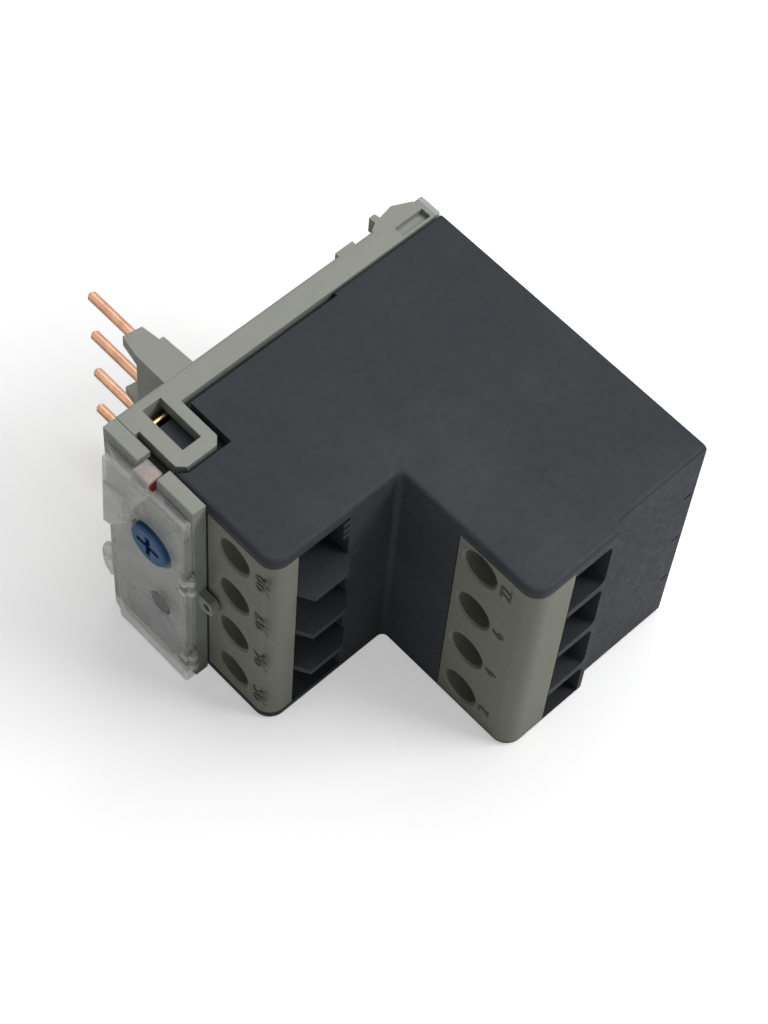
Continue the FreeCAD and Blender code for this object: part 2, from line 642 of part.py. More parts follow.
def contactor_side_cover():
    """Grey tray that closes the contactor side, with pin shroud, latches and hooks."""
    body = new_body("contactor_side_cover")
    sketch = sketch_on(body, "XY_Plane", "0")
    rectangle(sketch, "0", "strip_w", "0", "back_y")
    pad(body, sketch, "width")
    dress(body, "Fillet", "0.5", lambda edge: lies_at(edge, "X", 0.0)
          and edge.BoundBox.YLength > 1)
    sketch = sketch_on(body, "YZ_Plane", "strip_w + 1")
    rectangle(sketch, "skin", "back_y - skin", "skin", "width - skin")
    pocket(body, sketch, "strip_w + 1 - strip_web")

    # Loop latches on both side faces
    for level in ("width - loop_t", "0"):
        sketch = sketch_on(body, "XY_Plane", level)
        outline(sketch, [
            ("strip_web / 2", "loop_y"), ("loop_x - loop_cut", "loop_y"),
            ("loop_x", "loop_y + loop_cut"), ("loop_x", "loop_end_y - loop_cut"),
            ("loop_x - loop_cut", "loop_end_y"), ("strip_web / 2", "loop_end_y")])
        pad(body, sketch, "loop_t")
    for level in ("width", "loop_t"):
        sketch = sketch_on(body, "XY_Plane", level)
        rectangle(sketch, "window_x", "window_x + window_len", "window_y", "window_y + window_w")
        pocket(body, sketch, "loop_t + 0.1")

    # Shroud: a wall with ears at its ends and partitions between the pins
    sketch = sketch_on(body, "XY_Plane", "0")
    rectangle(sketch, "-shroud_x", "0.3", "ear_y", "ear_y + shroud_t")
    pad(body, sketch, "width")
    plates = [("0", "ear_t"), ("width - ear_t", "ear_t")]
    for index in range(3):
        plates.append((row_z(index, "pin_pitch", 3) + " - shroud_t / 2", "shroud_t"))
    for level, thickness in plates:
        sketch = sketch_on(body, "XY_Plane", level)
        outline(sketch, SHROUD_EAR)
        pad(body, sketch, thickness)

    # Hooks and bumps that catch the contactor, near both side faces
    for level in ("0", "width - hook_t"):
        sketch = sketch_on(body, "XY_Plane", level)
        outline(sketch, END_HOOK)
        pad(body, sketch, "hook_t")
        sketch = sketch_on(body, "XY_Plane", level)
        rectangle(sketch, "-bump_x", "0.4", "bump_y", "bump_y + bump_len")
        pad(body, sketch, "hook_t")

    # Pin holes and the slots in the side faces
    sketch = sketch_on(body, "YZ_Plane", "strip_web + 1")
    for index in range(4):
        middle = row_z(index, "pin_pitch")
        rectangle(sketch, "pin_y - pin_root", "pin_y + pin_root", middle + " - pin_root",
                  middle + " + pin_root")
    pocket(body, sketch, "strip_web + 2")
    for level, depth in (("width", "1"), ("1", "2")):
        sketch = sketch_on(body, "XY_Plane", level)
        rectangle(sketch, "strip_w * 0.45", "strip_w * 0.9", "back_y - 5.9", "back_y - 0.6")
        pocket(body, sketch, depth)
    keep("contactor_side_cover", body)


# --- Rear plate and terminal blocks ---------------------------------------

def rear_plate():
    """Thin light plate on the panel side, let into the housing behind a lip."""
    body = new_body("rear_plate")
    sketch = sketch_on(body, "XY_Plane", "0")
    rectangle(sketch, "seam", "strip_w", "back_y", "back_y + rear_t")
    pad(body, sketch, "width")
    sketch = sketch_on(body, "XY_Plane", "rear_rim + slip")
    rectangle(sketch, "strip_w - 1", "rear_face_x - rear_rim - slip", "back_y",
              "back_y + rear_t")
    pad(body, sketch, "width - 2 * rear_rim - 2 * slip")
    dress(body, "Chamfer", "rear_t / 5", lambda edge: lies_at(edge, "Y", number("back_y + rear_t")))
    keep("rear_plate", body)


def terminal_block(label, left, right, front, depth, low, hole_x, hole_r, pitch, edge_r):
    """Grey block with four round screw wells, wrapped round the housing corner."""
    body = new_body(label)
    sketch = sketch_on(body, "XY_Plane", low)
    rectangle(sketch, left + " + seam", right, front, "%s + %s - seam" % (front, depth))
    pad(body, sketch, "width - skin - seam - (%s)" % low)
    dress(body, "Fillet", edge_r, lambda edge: stands_at(edge, right, front))
    sketch = sketch_on(body, "XZ_Plane", "1 - (%s)" % front)
    for index in range(4):
        ring(sketch, hole_x, row_z(index, pitch), hole_r)
    pocket(body, sketch, "2 + " + depth)
    face = number(front)
    dress(body, "Chamfer", "well_lip", lambda edge: lies_at(edge, "Y", face)
          and isinstance(edge.Curve, Part.Circle))
    keep(label, body)


def terminal_blocks():
    terminal_block("aux_terminal_block", "block_x", "aux_face_x", "0", "aux_wrap",
                   "low_skin + seam", "aux_hole_x", "aux_hole_r", "aux_pitch", "corner_r")
    terminal_block("main_terminal_block", "main_block_x", "wire_face_x", "step_y", "main_wrap",
                   "low_lip + seam", "main_hole_x", "main_hole_r", "main_pitch", "corner_r")


# --- Front plate and clear cover -------------------------------------------

def hinge_levels():
    """Lower ends of the two cover knuckles."""
    return ["knuckle_low", "knuckle_high"]


def front_plate():
    """Grey face plate with openings for the dial and buttons, hinge ears and seal hook."""
    body = new_body("front_plate")
    sketch = sketch_on(body, "XZ_Plane", "seam")
    rectangle(sketch, "plate_x", "plate_end", "0", "width")
    pad(body, sketch, "plate_y - seam")
    dress(body, "Fillet", "0.3", lambda edge: lies_at(edge, "Y", -number("plate_y")))
    sketch = sketch_on(body, "XZ_Plane", "plate_y - plate_t")
    rectangle(sketch, "plate_x + plate_rim", "plate_end - plate_rim", "plate_rim",
              "width - plate_rim")
    pocket(body, sketch, "plate_y")
    sketch = sketch_on(body, "XZ_Plane", "plate_y + 1")
    ring(sketch, "reset_x", "reset_z", "reset_r + seam")
    ring(sketch, "dial_x", "dial_z", "dial_r + seam")
    ring(sketch, "test_x", "test_z", "test_r + seam")
    pocket(body, sketch, "plate_y + 1")
    sketch = sketch_on(body, "XZ_Plane", "plate_y + 1")
    rectangle(sketch, "gap_x", "gap_x + gap_w", "stop_z - stop_r - seam", "width + 1")
    pocket(body, sketch, "plate_y + 1")
    for level in hinge_levels():
        middle = level + " + knuckle_h / 2 - ear_slot / 2 + seam"
        sketch = sketch_on(body, "XY_Plane", middle)
        rectangle(sketch, "hinge_x - 1.4", "hinge_x", "-hinge_y", "-(plate_y - 0.2)")
        pad(body, sketch, "ear_slot - 2 * seam")
        sketch = sketch_on(body, "XY_Plane", middle)
        ring(sketch, "hinge_x", "-hinge_y", "knuckle_r")
        pad(body, sketch, "ear_slot - 2 * seam")
    sketch = sketch_on(body, "XZ_Plane", "seam + 0.2")
    rectangle(sketch, "plate_end - 0.4", "plate_end + seal_reach", "seal_z - seal_h / 2",
              "seal_z + seal_h / 2")
    pad(body, sketch, "seal_t")
    dress(body, "Fillet", "0.9", lambda edge: lies_at(edge, "X", number("plate_end + seal_reach"))
          and edge.BoundBox.YLength > 0.5)
    sketch = sketch_on(body, "XZ_Plane", "plate_y + 1")
    ring(sketch, "plate_end + seal_reach / 2 + 0.2", "seal_z", "seal_r")
    pocket(body, sketch, "plate_y + 2")
    sketch = sketch_on(body, "XY_Plane", "width")
    ring(sketch, "hinge_x", "-hinge_y", "hinge_pin_r")
    pocket(body, sketch, "width")
    keep("front_plate", body)


def clear_cover():
    """Clear hinged lid: a shallow tray with a raised box, windows, knuckles and a lug."""
    body = new_body("clear_cover")
    sketch = sketch_on(body, "XY_Plane", "cover_low")
    outline(sketch, [
        ("cover_x", "cover_back"), ("cover_x", "-(plate_y + 0.75)"),
        ("cover_x + 1.55", "-(plate_y + 1.1)"), ("bevel_x", "-cover_y"),
        ("cover_end", "-cover_y"), ("cover_end", "cover_back")])
    pad(body, sketch, "cover_top - cover_low")
    sketch = sketch_on(body, "YZ_Plane", "bulge_x")
    outline(sketch, [
        ("-cover_y + 0.2", "bulge_low - 0.6"), ("-bulge_y", "bulge_low"),
        ("-bulge_y", "bulge_low + bulge_h"), ("-cover_y + 0.2", "bulge_top")])
    pad(body, sketch, "bulge_w")
    sketch = sketch_on(body, "XY_Plane", "cover_top - cover_t")
    outline(sketch, [
        ("cover_x + cover_t", "cover_back + 1"), ("cover_x + cover_t", "cover_back - 0.15"),
        ("bevel_x + 0.4", "cover_in"), ("cover_end - cover_t", "cover_in"),
        ("cover_end - cover_t", "cover_back + 1")])
    pocket(body, sketch, "cover_top - cover_low - 2 * cover_t")
    sketch = sketch_on(body, "YZ_Plane", "bulge_x + bulge_w - cover_t")
    outline(sketch, [
        ("cover_in + 0.1", "bulge_low + cover_t"), ("-bulge_y + cover_t", "bulge_low + cover_t"),
        ("-bulge_y + cover_t", "bulge_low + bulge_h - 0.2"),
        ("cover_in + 0.1", "bulge_top - 2")])
    pocket(body, sketch, "bulge_w - 2 * cover_t")

    # Windows over the dial and the test button, gap over the stop button
    sketch = sketch_on(body, "XZ_Plane", "bulge_y + 1")
    ring(sketch, "dial_x", "dial_z", "dial_r + 0.35")
    ring(sketch, "test_x", "test_z", "test_r + 0.35")
    pocket(body, sketch, "bulge_y + 1")

    # Open top edge over the stop button, bridged by a tab that folds round it
    sketch = sketch_on(body, "XY_Plane", "cover_top + 1")
    rectangle(sketch, "tab_x - 0.5", "tab_x + tab_w + 0.5", "cover_in", "cover_back + 1")
    pocket(body, sketch, "cover_t + 1.1")
    sketch = sketch_on(body, "YZ_Plane", "tab_x")
    outline(sketch, [
        ("-cover_y", "cover_top - 0.5"), ("-cover_y", "tab_top - 0.4"),
        ("-cover_y + 0.4", "tab_top"), ("-0.9", "tab_top"), ("-0.9", "tab_top - 0.7"),
        ("cover_in", "tab_top - 0.7"), ("cover_in", "cover_top - 0.5")])
    pad(body, sketch, "tab_w")

    # Knuckles with a slot for the plate's ears
    for level in hinge_levels():
        sketch = sketch_on(body, "XY_Plane", level)
        rectangle(sketch, "cover_end - 0.4", "hinge_x", "-(hinge_y + knuckle_r)", "cover_back")
        pad(body, sketch, "knuckle_h")
        sketch = sketch_on(body, "XY_Plane", level)
        ring(sketch, "hinge_x", "-hinge_y", "knuckle_r")
        pad(body, sketch, "knuckle_h")
    for level in hinge_levels():
        sketch = sketch_on(body, "XY_Plane",
                           level + " + knuckle_h / 2 + ear_slot / 2")
        rectangle(sketch, "hinge_x - 1.6", "hinge_x + 2", "-(cover_y + 1)", "1")
        pocket(body, sketch, "ear_slot")
    sketch = sketch_on(body, "XY_Plane", "width")
    ring(sketch, "hinge_x", "-hinge_y", "hinge_pin_r + slip")
    pocket(body, sketch, "width")

    # Half-round lug with a sealing hole
    sketch = sketch_on(body, "XZ_Plane", "plate_y + 0.3")
    outline(sketch, [
        ("cover_x + 0.3", "lug_z - lug_r"), ("cover_x + 0.3", "lug_z + lug_r"),
        ("cover_x - 0.1", "lug_z + lug_r"),
        ("cover_x - lug_reach * 0.75", "lug_z + lug_r * 0.7"),
        ("cover_x - lug_reach", "lug_z + lug_r * 0.25"),
        ("cover_x - lug_reach", "lug_z - lug_r * 0.25"),
        ("cover_x - lug_reach * 0.75", "lug_z - lug_r * 0.7"),
        ("cover_x - 0.1", "lug_z - lug_r")])
    pad(body, sketch, "lug_t")
    sketch = sketch_on(body, "XZ_Plane", "bulge_y + 1")
    ring(sketch, "cover_x - lug_reach / 2", "lug_z", "seal_r")
    pocket(body, sketch, "bulge_y")
    keep("clear_cover", body)


def cover_hinge_pins():
    pins = []
    for index, level in enumerate(hinge_levels()):
        pins.append(rod("hinge_pin_%d" % index, "z", "hinge_x", "-hinge_y", level + " + 0.1",
                        "hinge_pin_r", "knuckle_h - 0.2"))
    keep("cover_hinge_pins", group("cover_hinge_pins", pins))


# --- Dial, cam and adjusting slide ------------------------------------------

def setting_dial():
    """Blue dial with a cross slot, turned from the front."""
    body = new_body("setting_dial")
    sketch = sketch_on(body, "XZ_Plane", "dial_y - dial_t")
    ring(sketch, "dial_x", "dial_z", "dial_r")
    pad(body, sketch, "dial_t")
    dress(body, "Chamfer", "0.25", lambda edge: lies_at(edge, "Y", -number("dial_y")))
    sketch = sketch_on(body, "XZ_Plane", "-shaft_end")
    ring(sketch, "dial_x", "dial_z", "shaft_r")
    pad(body, sketch, "shaft_end + dial_y - dial_t + 0.2")
    for wide, tall in (("slot_len", "slot_w"), ("slot_w", "slot_len")):
        sketch = sketch_on(body, "XZ_Plane", "dial_y + 1")
        rectangle(sketch, "dial_x - %s / 2" % wide, "dial_x + %s / 2" % wide,
                  "dial_z - %s / 2" % tall, "dial_z + %s / 2" % tall)
        pocket(body, sketch, "slot_d + 1")
    keep("setting_dial", body)


def dial_cam():
    """Scroll cam: its radius grows evenly with the angle, by cam_rise in a full turn."""
    base = number("cam_r")
    rise = number("cam_rise")
    count = 24
    points = []
    for index in range(count + 1):
        turn = math.tau * index / count
        radius = base + rise * (turn - math.pi) / math.tau
        points.append(vector(radius * math.sin(turn - math.pi), 0,
                             radius * math.cos(turn - math.pi)))
    curve = Part.BSplineCurve()
    curve.interpolate(points)
    rim = Part.Wire([curve.toShape(), Part.makeLine(points[-1], points[0])])
    disc = Part.Face(rim).extrude(vector(0, number("cam_t"), 0))
    bore = Part.makeCylinder(number("shaft_r + 0.01"), number("cam_t"), vector(), vector(0, 1, 0))
    cam = doc.addObject("Part::Feature", "dial_cam")
    cam.Shape = disc.cut(bore)
    cam.Label = "dial_cam"
    cam.Placement = FreeCAD.Placement()
    bind(cam, "Placement.Base.x", "dial_x + shift_x")
    bind(cam, "Placement.Base.y", "cam_y + shift_y")
    bind(cam, "Placement.Base.z", "dial_z")
    nodes["dial_cam"] = cam


def adjusting_slide():
    """Follower over the cam, with the arm that carries the compensating strip."""
    parts = [
        rod("follower_nose", "y", "dial_x", "cam_y + 0.1", "nose_z + nose_r", "nose_r",
            "cam_t - 0.2"),
        brick("follower_shoulder", "dial_x", "dial_x + 3 * nose_r", "cam_y + 0.1",
              "cam_y + cam_t - 0.1", "nose_z + nose_r", "nose_z + 2 * nose_r"),
        brick("follower_post", "dial_x + nose_r", "dial_x + 3 * nose_r", "cam_y + 0.1",
              "cam_y + cam_t - 0.1", "nose_z + nose_r", "nose_z + nose_r + post_h"),
        brick("follower_arm", "dial_x + nose_r", "dial_x + arm_end", "cam_y + cam_t - 0.1",
              "arm_y", "nose_z + nose_r", "nose_z + nose_r + arm_h")]
    keep("adjusting_slide", joined("adjusting_slide", parts))
    strip = brick("strip_plate", "dial_x + 0.8", "dial_x + arm_end - 0.4", "comp_y",
                  "pivot_y + 1.6", "nose_z + nose_r - comp_t", "nose_z + nose_r")
    keep("compensation_strip", group("compensation_strip", [strip]))


# --- Buttons and springs ----------------------------------------------------

def revolved(body, x, z, profile):
    """A turned piece: profile is (y, radius) pairs about the line x, z along Y."""
    sketch = sketch_on(body, "XY_Plane", z)
    points = [("%s + %s" % (x, radius), y) for y, radius in profile]
    outline(sketch, points)
    feature = body.newObject("PartDesign::Revolution", body.Name + "_turned")
    feature.Profile = sketch
    axis = sketch.addGeometry(Part.LineSegment(vector(number(x), -1, 0),
                                               vector(number(x), 1, 0)), True)
    pinned(sketch, axis, 1, x, "-1")
    pinned(sketch, axis, 2, x, "1")
    feature.ReferenceAxis = (sketch, ["Axis0"])
    feature.Angle = 360
    return feature


def button_profile(head_r, skirt_r):
    return [("-head_y", "0"), ("-head_y", head_r), ("-head_y + head_t", head_r),
            ("-head_y + head_t", skirt_r), ("-head_y + head_t + skirt_t", skirt_r),
            ("-head_y + head_t + skirt_t", "stem_r"), ("boss_end + 0.15", "stem_r"),
            ("boss_end + 0.15", "stem_r + barb_r"), ("boss_end + 0.15 + barb_t", "stem_r + barb_r"),
            ("boss_end + 0.15 + barb_t", "stem_r"), ("stem_end", "stem_r"), ("stem_end", "0")]


def push_button(name, x, z, head_r):
    body = new_body(name + "_button")
    revolved(body, x, z, button_profile(head_r, name + "_well_r - 0.2"))
    return body


def buttons():
    reset = push_button("reset", "reset_x", "reset_z", "reset_r")
    sketch = sketch_on(reset, "XZ_Plane", "head_y + 1")
    rectangle(sketch, "reset_x - slot_w / 2", "reset_x + slot_w / 2",
              "reset_z - slot_len / 2", "reset_z + slot_len / 2")
    pocket(reset, sketch, "1.6")
    keep("reset_button", reset)
    keep("test_button", push_button("test", "test_x", "test_z", "test_r"))

    stop = new_body("stop_button")
    neck = "-(plate_y - plate_t - seam)"
    revolved(stop, "stop_x", "stop_stem_z", [
        (neck, "0"), (neck, "stop_well_r - 0.2"),
        ("-head_y + head_t + skirt_t", "stop_well_r - 0.2"),
        ("-head_y + head_t + skirt_t", "stem_r"), ("boss_end + 0.15", "stem_r"),
        ("boss_end + 0.15", "stem_r + barb_r"), ("boss_end + 0.15 + barb_t", "stem_r + barb_r"),
        ("boss_end + 0.15 + barb_t", "stem_r"), ("stem_end", "stem_r"), ("stem_end", "0")])
    sketch = sketch_on(stop, "XZ_Plane", "plate_y - plate_t - seam - 0.5")
    rectangle(sketch, "stop_x - 1.2", "stop_x + 1.2", "stop_stem_z - 0.8", "stop_z")
    pad(stop, sketch, "0.5")
    sketch = sketch_on(stop, "XZ_Plane", "plate_y - plate_t - seam - 0.5")
    ring(sketch, "stop_x", "stop_z", "stop_r")
    pad(stop, sketch, "head_y - plate_y + plate_t + seam + 0.5")
    dress(stop, "Fillet", "0.3", lambda edge: lies_at(edge, "Y", -number("head_y")))
    keep("stop_button", stop)


COIL_TURNS = 4


def button_spring(name, x, z):
    """Stacked flat turns, joined side to side, between the skirt and its well's floor."""
    body = new_body(name + "_spring")
    start = "-head_y + head_t + skirt_t + slip"
    span = "(coil_well_end - slip - coil_t - (%s))" % start
    outside = name + "_well_r - 0.15"
    sketch = sketch_on(body, "XZ_Plane", "-(%s + coil_t)" % start)
    ring(sketch, x, z, outside)
    ring(sketch, x, z, outside + " - coil_w")
    turn = pad(body, sketch, "coil_t")
    doc.recompute()
    rows = body.newObject("PartDesign::LinearPattern", body.Name + "_turns")
    rows.Originals = [turn]
    along = [item for item in body.Origin.OriginFeatures if item.Role == "Y_Axis"][0]
    rows.Direction = (along, [""])
    bind(rows, "Length", span)
    rows.Occurrences = COIL_TURNS
    body.Tip = rows
    for index in range(COIL_TURNS - 1):
        side = 1 if index % 2 == 0 else -1
        rise = "%s / %d" % (span, COIL_TURNS - 1)
        sketch = sketch_on(body, "XZ_Plane",
                           "-(%s + coil_t / 2 + %d * %s)" % (start, index + 1, rise))
        near = "%s + (%d) * (%s - coil_w + 0.05)" % (x, side, outside)
        far = "%s + (%d) * (%s - 0.05)" % (x, side, outside)
        left, right = (near, far) if side > 0 else (far, near)
        rectangle(sketch, left, right, z + " - coil_w / 2", z + " + coil_w / 2")
        pad(body, sketch, rise)
    keep(name + "_spring", body)


# --- Pins, bars, heaters and bimetals ---------------------------------------

def bent_pin(label, z):
    """Round copper pin on a square root that is bent inside towards the heaters."""
    body = new_body(label)
    route = sketch_on(body, "XY_Plane", z)
    spots = [("0", "pin_y"), ("pin_in - pin_bend", "pin_y"),
             ("pin_in", "pin_y + pin_bend"), ("pin_in", "pin_foot")]
    start, before, after, foot = [vector(number(u), number(v), 0) for u, v in spots]
    bend = number("pin_bend")
    route.addGeometry(Part.LineSegment(start, before))
    centre = vector(before.x, before.y + bend, 0)
    circle = Part.Circle(centre, vector(0, 0, 1), bend)
    route.addGeometry(Part.ArcOfCircle(circle, -math.pi / 2, 0.0))
    route.addGeometry(Part.LineSegment(after, foot))
    route.addConstraint(Sketcher.Constraint("Coincident", 0, 2, 1, 1))
    route.addConstraint(Sketcher.Constraint("Coincident", 1, 2, 2, 1))
    pinned(route, 0, 1, *spots[0])
    pinned(route, 0, 2, *spots[1])
    pinned(route, 2, 1, *spots[2])
    pinned(route, 2, 2, *spots[3])
    size = route.addConstraint(Sketcher.Constraint("Radius", 1, bend))
    bind(route, "Constraints[%d]" % size, "pin_bend")
    section = sketch_on(body, "YZ_Plane", "0")
    rectangle(section, "pin_y - pin_root", "pin_y + pin_root", z + " - pin_root",
              z + " + pin_root")
    pipe = body.newObject("PartDesign::AdditivePipe", label + "_pipe")
    pipe.Profile = section
    pipe.Spine = (route, ["Edge1", "Edge2", "Edge3"])
    section = sketch_on(body, "YZ_Plane", "-pin_reach")
    ring(section, "pin_y", z, "pin_r")
    pad(body, section, "pin_reach")
    dress(body, "Chamfer", "pin_tip", lambda edge: lies_at(edge, "X", -number("pin_reach")))
    keep(label, body)


def bar_profile(turn_x, back_x):
    """Flat bar seen from its edge: out of the cell, back, then towards the bimetal."""
    return [("bar_end", "bar_y"), ("bar_end", "bar_y + metal_t"),
            ("%s + metal_t" % turn_x, "bar_y + metal_t"), ("%s + metal_t" % turn_x, "bar_back_y + metal_t"),
            (back_x, "bar_back_y + metal_t"), (back_x, "bar_back_y"),
            (turn_x, "bar_back_y"), (turn_x, "bar_y")]


def with_screw_hole(body, x, z, front, thickness):
    sketch = sketch_on(body, "XZ_Plane", "-(%s - 1)" % front)
    ring(sketch, x, z, "screw_r + slip")
    pocket(body, sketch, thickness + " + 2")


def power_path(index):
    """Bar, bimetal, insulating sleeve and heater of one pole."""
    number_text = "%d" % (index + 1)
    z = row_z(index, "main_pitch")
    pin_z = row_z(index, "pin_pitch")
    bar = new_body("pole_bar_" + number_text)
    sketch = sketch_on(bar, "XY_Plane", z + " - bar_h / 2")
    outline(sketch, bar_profile("bar_turn_x", "strip_x + bimetal_w / 2"))
    pad(bar, sketch, "bar_h")
    with_screw_hole(bar, "main_hole_x", z, "bar_y", "metal_t")
    keep("pole_bar_" + number_text, bar)

    bimetal = new_body("bimetal_strip_" + number_text)
    sketch = sketch_on(bimetal, "XY_Plane", z + " - bimetal_t / 2")
    outline(sketch, [
        ("strip_x", "bar_back_y"), ("strip_x", "bimetal_y + 2"), ("strip_x + 0.9", "bimetal_y"),
        ("strip_x + bimetal_w - 0.9", "bimetal_y"), ("strip_x + bimetal_w", "bimetal_y + 2"),
        ("strip_x + bimetal_w", "bar_back_y")])
    pad(bimetal, sketch, "bimetal_t")
    keep("bimetal_strip_" + number_text, bimetal)

    sleeve = new_body("heater_sleeve_" + number_text)
    sketch = sketch_on(sleeve, "XZ_Plane", "-(winding_y + (winding_n - 1) * winding_pitch + 2)")
    flat_tube(sketch, z, "0", "winding_gap")
    pad(sleeve, sketch, "(winding_n - 1) * winding_pitch + 2.8")
    keep("heater_sleeve_" + number_text, sleeve)

    heater = new_body("heater_winding_" + number_text)
    sketch = sketch_on(heater, "XZ_Plane", "-(winding_y + winding_t)")
    flat_tube(sketch, z, "winding_gap", "winding_t")
    turn = pad(heater, sketch, "winding_t")
    doc.recompute()
    rows = heater.newObject("PartDesign::LinearPattern", heater.Name + "_turns")
    rows.Originals = [turn]
    along = [item for item in heater.Origin.OriginFeatures if item.Role == "Y_Axis"][0]
    rows.Direction = (along, [""])
    bind(rows, "Length", "(winding_n - 1) * winding_pitch")
    rows.Occurrences = int(number("winding_n"))
    heater.Tip = rows
    spine = sketch_on(heater, "XY_Plane", z + " + bimetal_t / 2 + winding_gap")
    rectangle(spine, "strip_x + 1.5", "strip_x + 3.5", "winding_y",
              "winding_y + (winding_n - 1) * winding_pitch + winding_t")
    pad(heater, spine, "winding_t")
    tail = sketch_on(heater, "XY_Plane", "min(%s; %s) - pin_r" % (z, pin_z))
    outline(tail, [
        ("pin_in + pin_root", "pin_foot - metal_t"), ("strip_x - winding_gap", "pin_foot - metal_t"),
        ("strip_x - winding_gap", "winding_y + winding_t"),
        ("strip_x - winding_gap - winding_t", "winding_y + winding_t"),
        ("strip_x - winding_gap - winding_t", "pin_foot"), ("pin_in + pin_root", "pin_foot")])
    pad(heater, tail, "abs(%s - (%s)) + 2 * pin_r" % (z, pin_z))
    keep("heater_winding_" + number_text, heater)


def flat_tube(sketch, z, inside, wall):
    """Two rectangles round the bimetal: inside is the gap to it, wall the tube's own."""
    for grow in (inside, "(%s + %s)" % (inside, wall)):
        rectangle(sketch, "strip_x - " + grow, "strip_x + bimetal_w + " + grow,
                  "%s - bimetal_t / 2 - %s" % (z, grow), "%s + bimetal_t / 2 + %s" % (z, grow))


def link_bar():
    """Plain bar that passes the fourth pin on to the fourth main terminal."""
    z = row_z(3, "main_pitch")
    low = "%s - bar_h / 2" % z
    bar = new_body("link_bar")
    sketch = sketch_on(bar, "XY_Plane", low)
    outline(sketch, [
        ("bar_end", "bar_y"), ("bar_end", "bar_y + metal_t"),
        ("pin_in + pin_root", "bar_y + metal_t"), ("pin_in + pin_root", "pin_foot - 2"),
        ("pin_in + pin_root + metal_t", "pin_foot - 2"), ("pin_in + pin_root + metal_t", "bar_y")])
    pad(bar, sketch, "bar_h")
    with_screw_hole(bar, "main_hole_x", z, "bar_y", "metal_t")
    keep("link_bar", bar)


# --- Terminals ----------------------------------------------------------------

def screws_and_clamps(prefix, hole_x, pitch, head_y, shank_end):
    """Cross-slotted terminal screws, each with its square clamp plate."""
    screws = []
    clamps = []
    for index in range(4):
        z = row_z(index, pitch)
        head = rod("%s_head_%d" % (prefix, index), "y", hole_x, head_y, z, "screw_head_r",
                   "screw_head_t")
        shank = rod("%s_shank_%d" % (prefix, index), "y", hole_x, head_y, z, "screw_r",
                    "%s - (%s)" % (shank_end, head_y))
        solid = joined("%s_blank_%d" % (prefix, index), [head, shank])
        slots = joined("%s_slots_%d" % (prefix, index), [
            brick("%s_slot_a_%d" % (prefix, index), hole_x + " - 1.6", hole_x + " + 1.6",
                  head_y + " - 1", head_y + " + 1", z + " - 0.4", z + " + 0.4"),
            brick("%s_slot_b_%d" % (prefix, index), hole_x + " - 0.4", hole_x + " + 0.4",
                  head_y + " - 1", head_y + " + 1", z + " - 1.6", z + " + 1.6")])
        screws.append(without("%s_screw_%d" % (prefix, index), solid, slots))
        under = "%s + screw_head_t" % head_y
        plate = brick("%s_clamp_blank_%d" % (prefix, index), hole_x + " - clamp_w / 2",
                      hole_x + " + clamp_w / 2", under, under + " + clamp_t",
                      z + " - clamp_w / 2", z + " + clamp_w / 2")
        bore = rod("%s_bore_%d" % (prefix, index), "y", hole_x, under + " - 1", z,
                   "screw_r", "clamp_t + 2")
        clamps.append(without("%s_clamp_%d" % (prefix, index), plate, bore))
    keep("%s_terminal_screws" % prefix, group("%s_terminal_screws" % prefix, screws))
    keep("%s_terminal_clamps" % prefix, group("%s_terminal_clamps" % prefix, clamps))


def contact_plate(label, index, inner):
    """Plate from an auxiliary screw to its fixed contact; inner is its far outline."""
    z = row_z(index, "aux_pitch")
    body = new_body(label)
    sketch = sketch_on(body, "XZ_Plane", "-(aux_bar_y + leaf_t)")
    outline(sketch, [
        ("room_x", z + " - clamp_w / 2"), ("aux_hole_x + clamp_w / 2", z + " - clamp_w / 2"),
        ("aux_hole_x + clamp_w / 2", z + " + clamp_w / 2"), ("room_x", z + " + clamp_w / 2"),
    ] + inner)
    pad(body, sketch, "leaf_t")
    with_screw_hole(body, "aux_hole_x", z, "aux_bar_y", "leaf_t")
    keep(label, body)


def contact_plates():
    """The normally open pair above the rocker and the normally closed pair below."""
    no_tip = "contact_high + no_gap"
    nc_tip = "contact_low - nc_gap"
    left_end = "rocker_x - 0.5"
    first = row_z(0, "aux_pitch")
    contact_plate("no_contact_left", 0, [
        ("room_x", first + " + 1.3"), ("leg_x", first + " + 1.3"), ("leg_x", no_tip),
        (left_end, no_tip), (left_end, no_tip + " + 1.2"), ("leg_x + leg_w", no_tip + " + 1.2"),
        ("leg_x + leg_w", first + " - 1.3"), ("room_x", first + " - 1.3")])
    second = row_z(1, "aux_pitch")
    contact_plate("no_contact_right", 1, [
        ("tip_x", second + " + clamp_w / 2"), ("tip_x", no_tip), ("room_x", no_tip)])
    third = row_z(2, "aux_pitch")
    contact_plate("nc_contact_right", 2, [
        ("room_x", nc_tip), ("tip_x", nc_tip), ("tip_x", third + " - clamp_w / 2")])
    fourth = row_z(3, "aux_pitch")
    contact_plate("nc_contact_left", 3, [
        ("room_x", fourth + " + 1.3"), ("leg_x + leg_w + 1.5", fourth + " + 1.3"),
        ("leg_x + leg_w + 1.5", nc_tip + " - 1.2"), (left_end, nc_tip + " - 1.2"),
        (left_end, nc_tip), ("leg_x + 1.5", nc_tip), ("leg_x + 1.5", fourth + " - 1.3"),
        ("room_x", fourth + " - 1.3")])


# --- Trip mechanism -----------------------------------------------------------

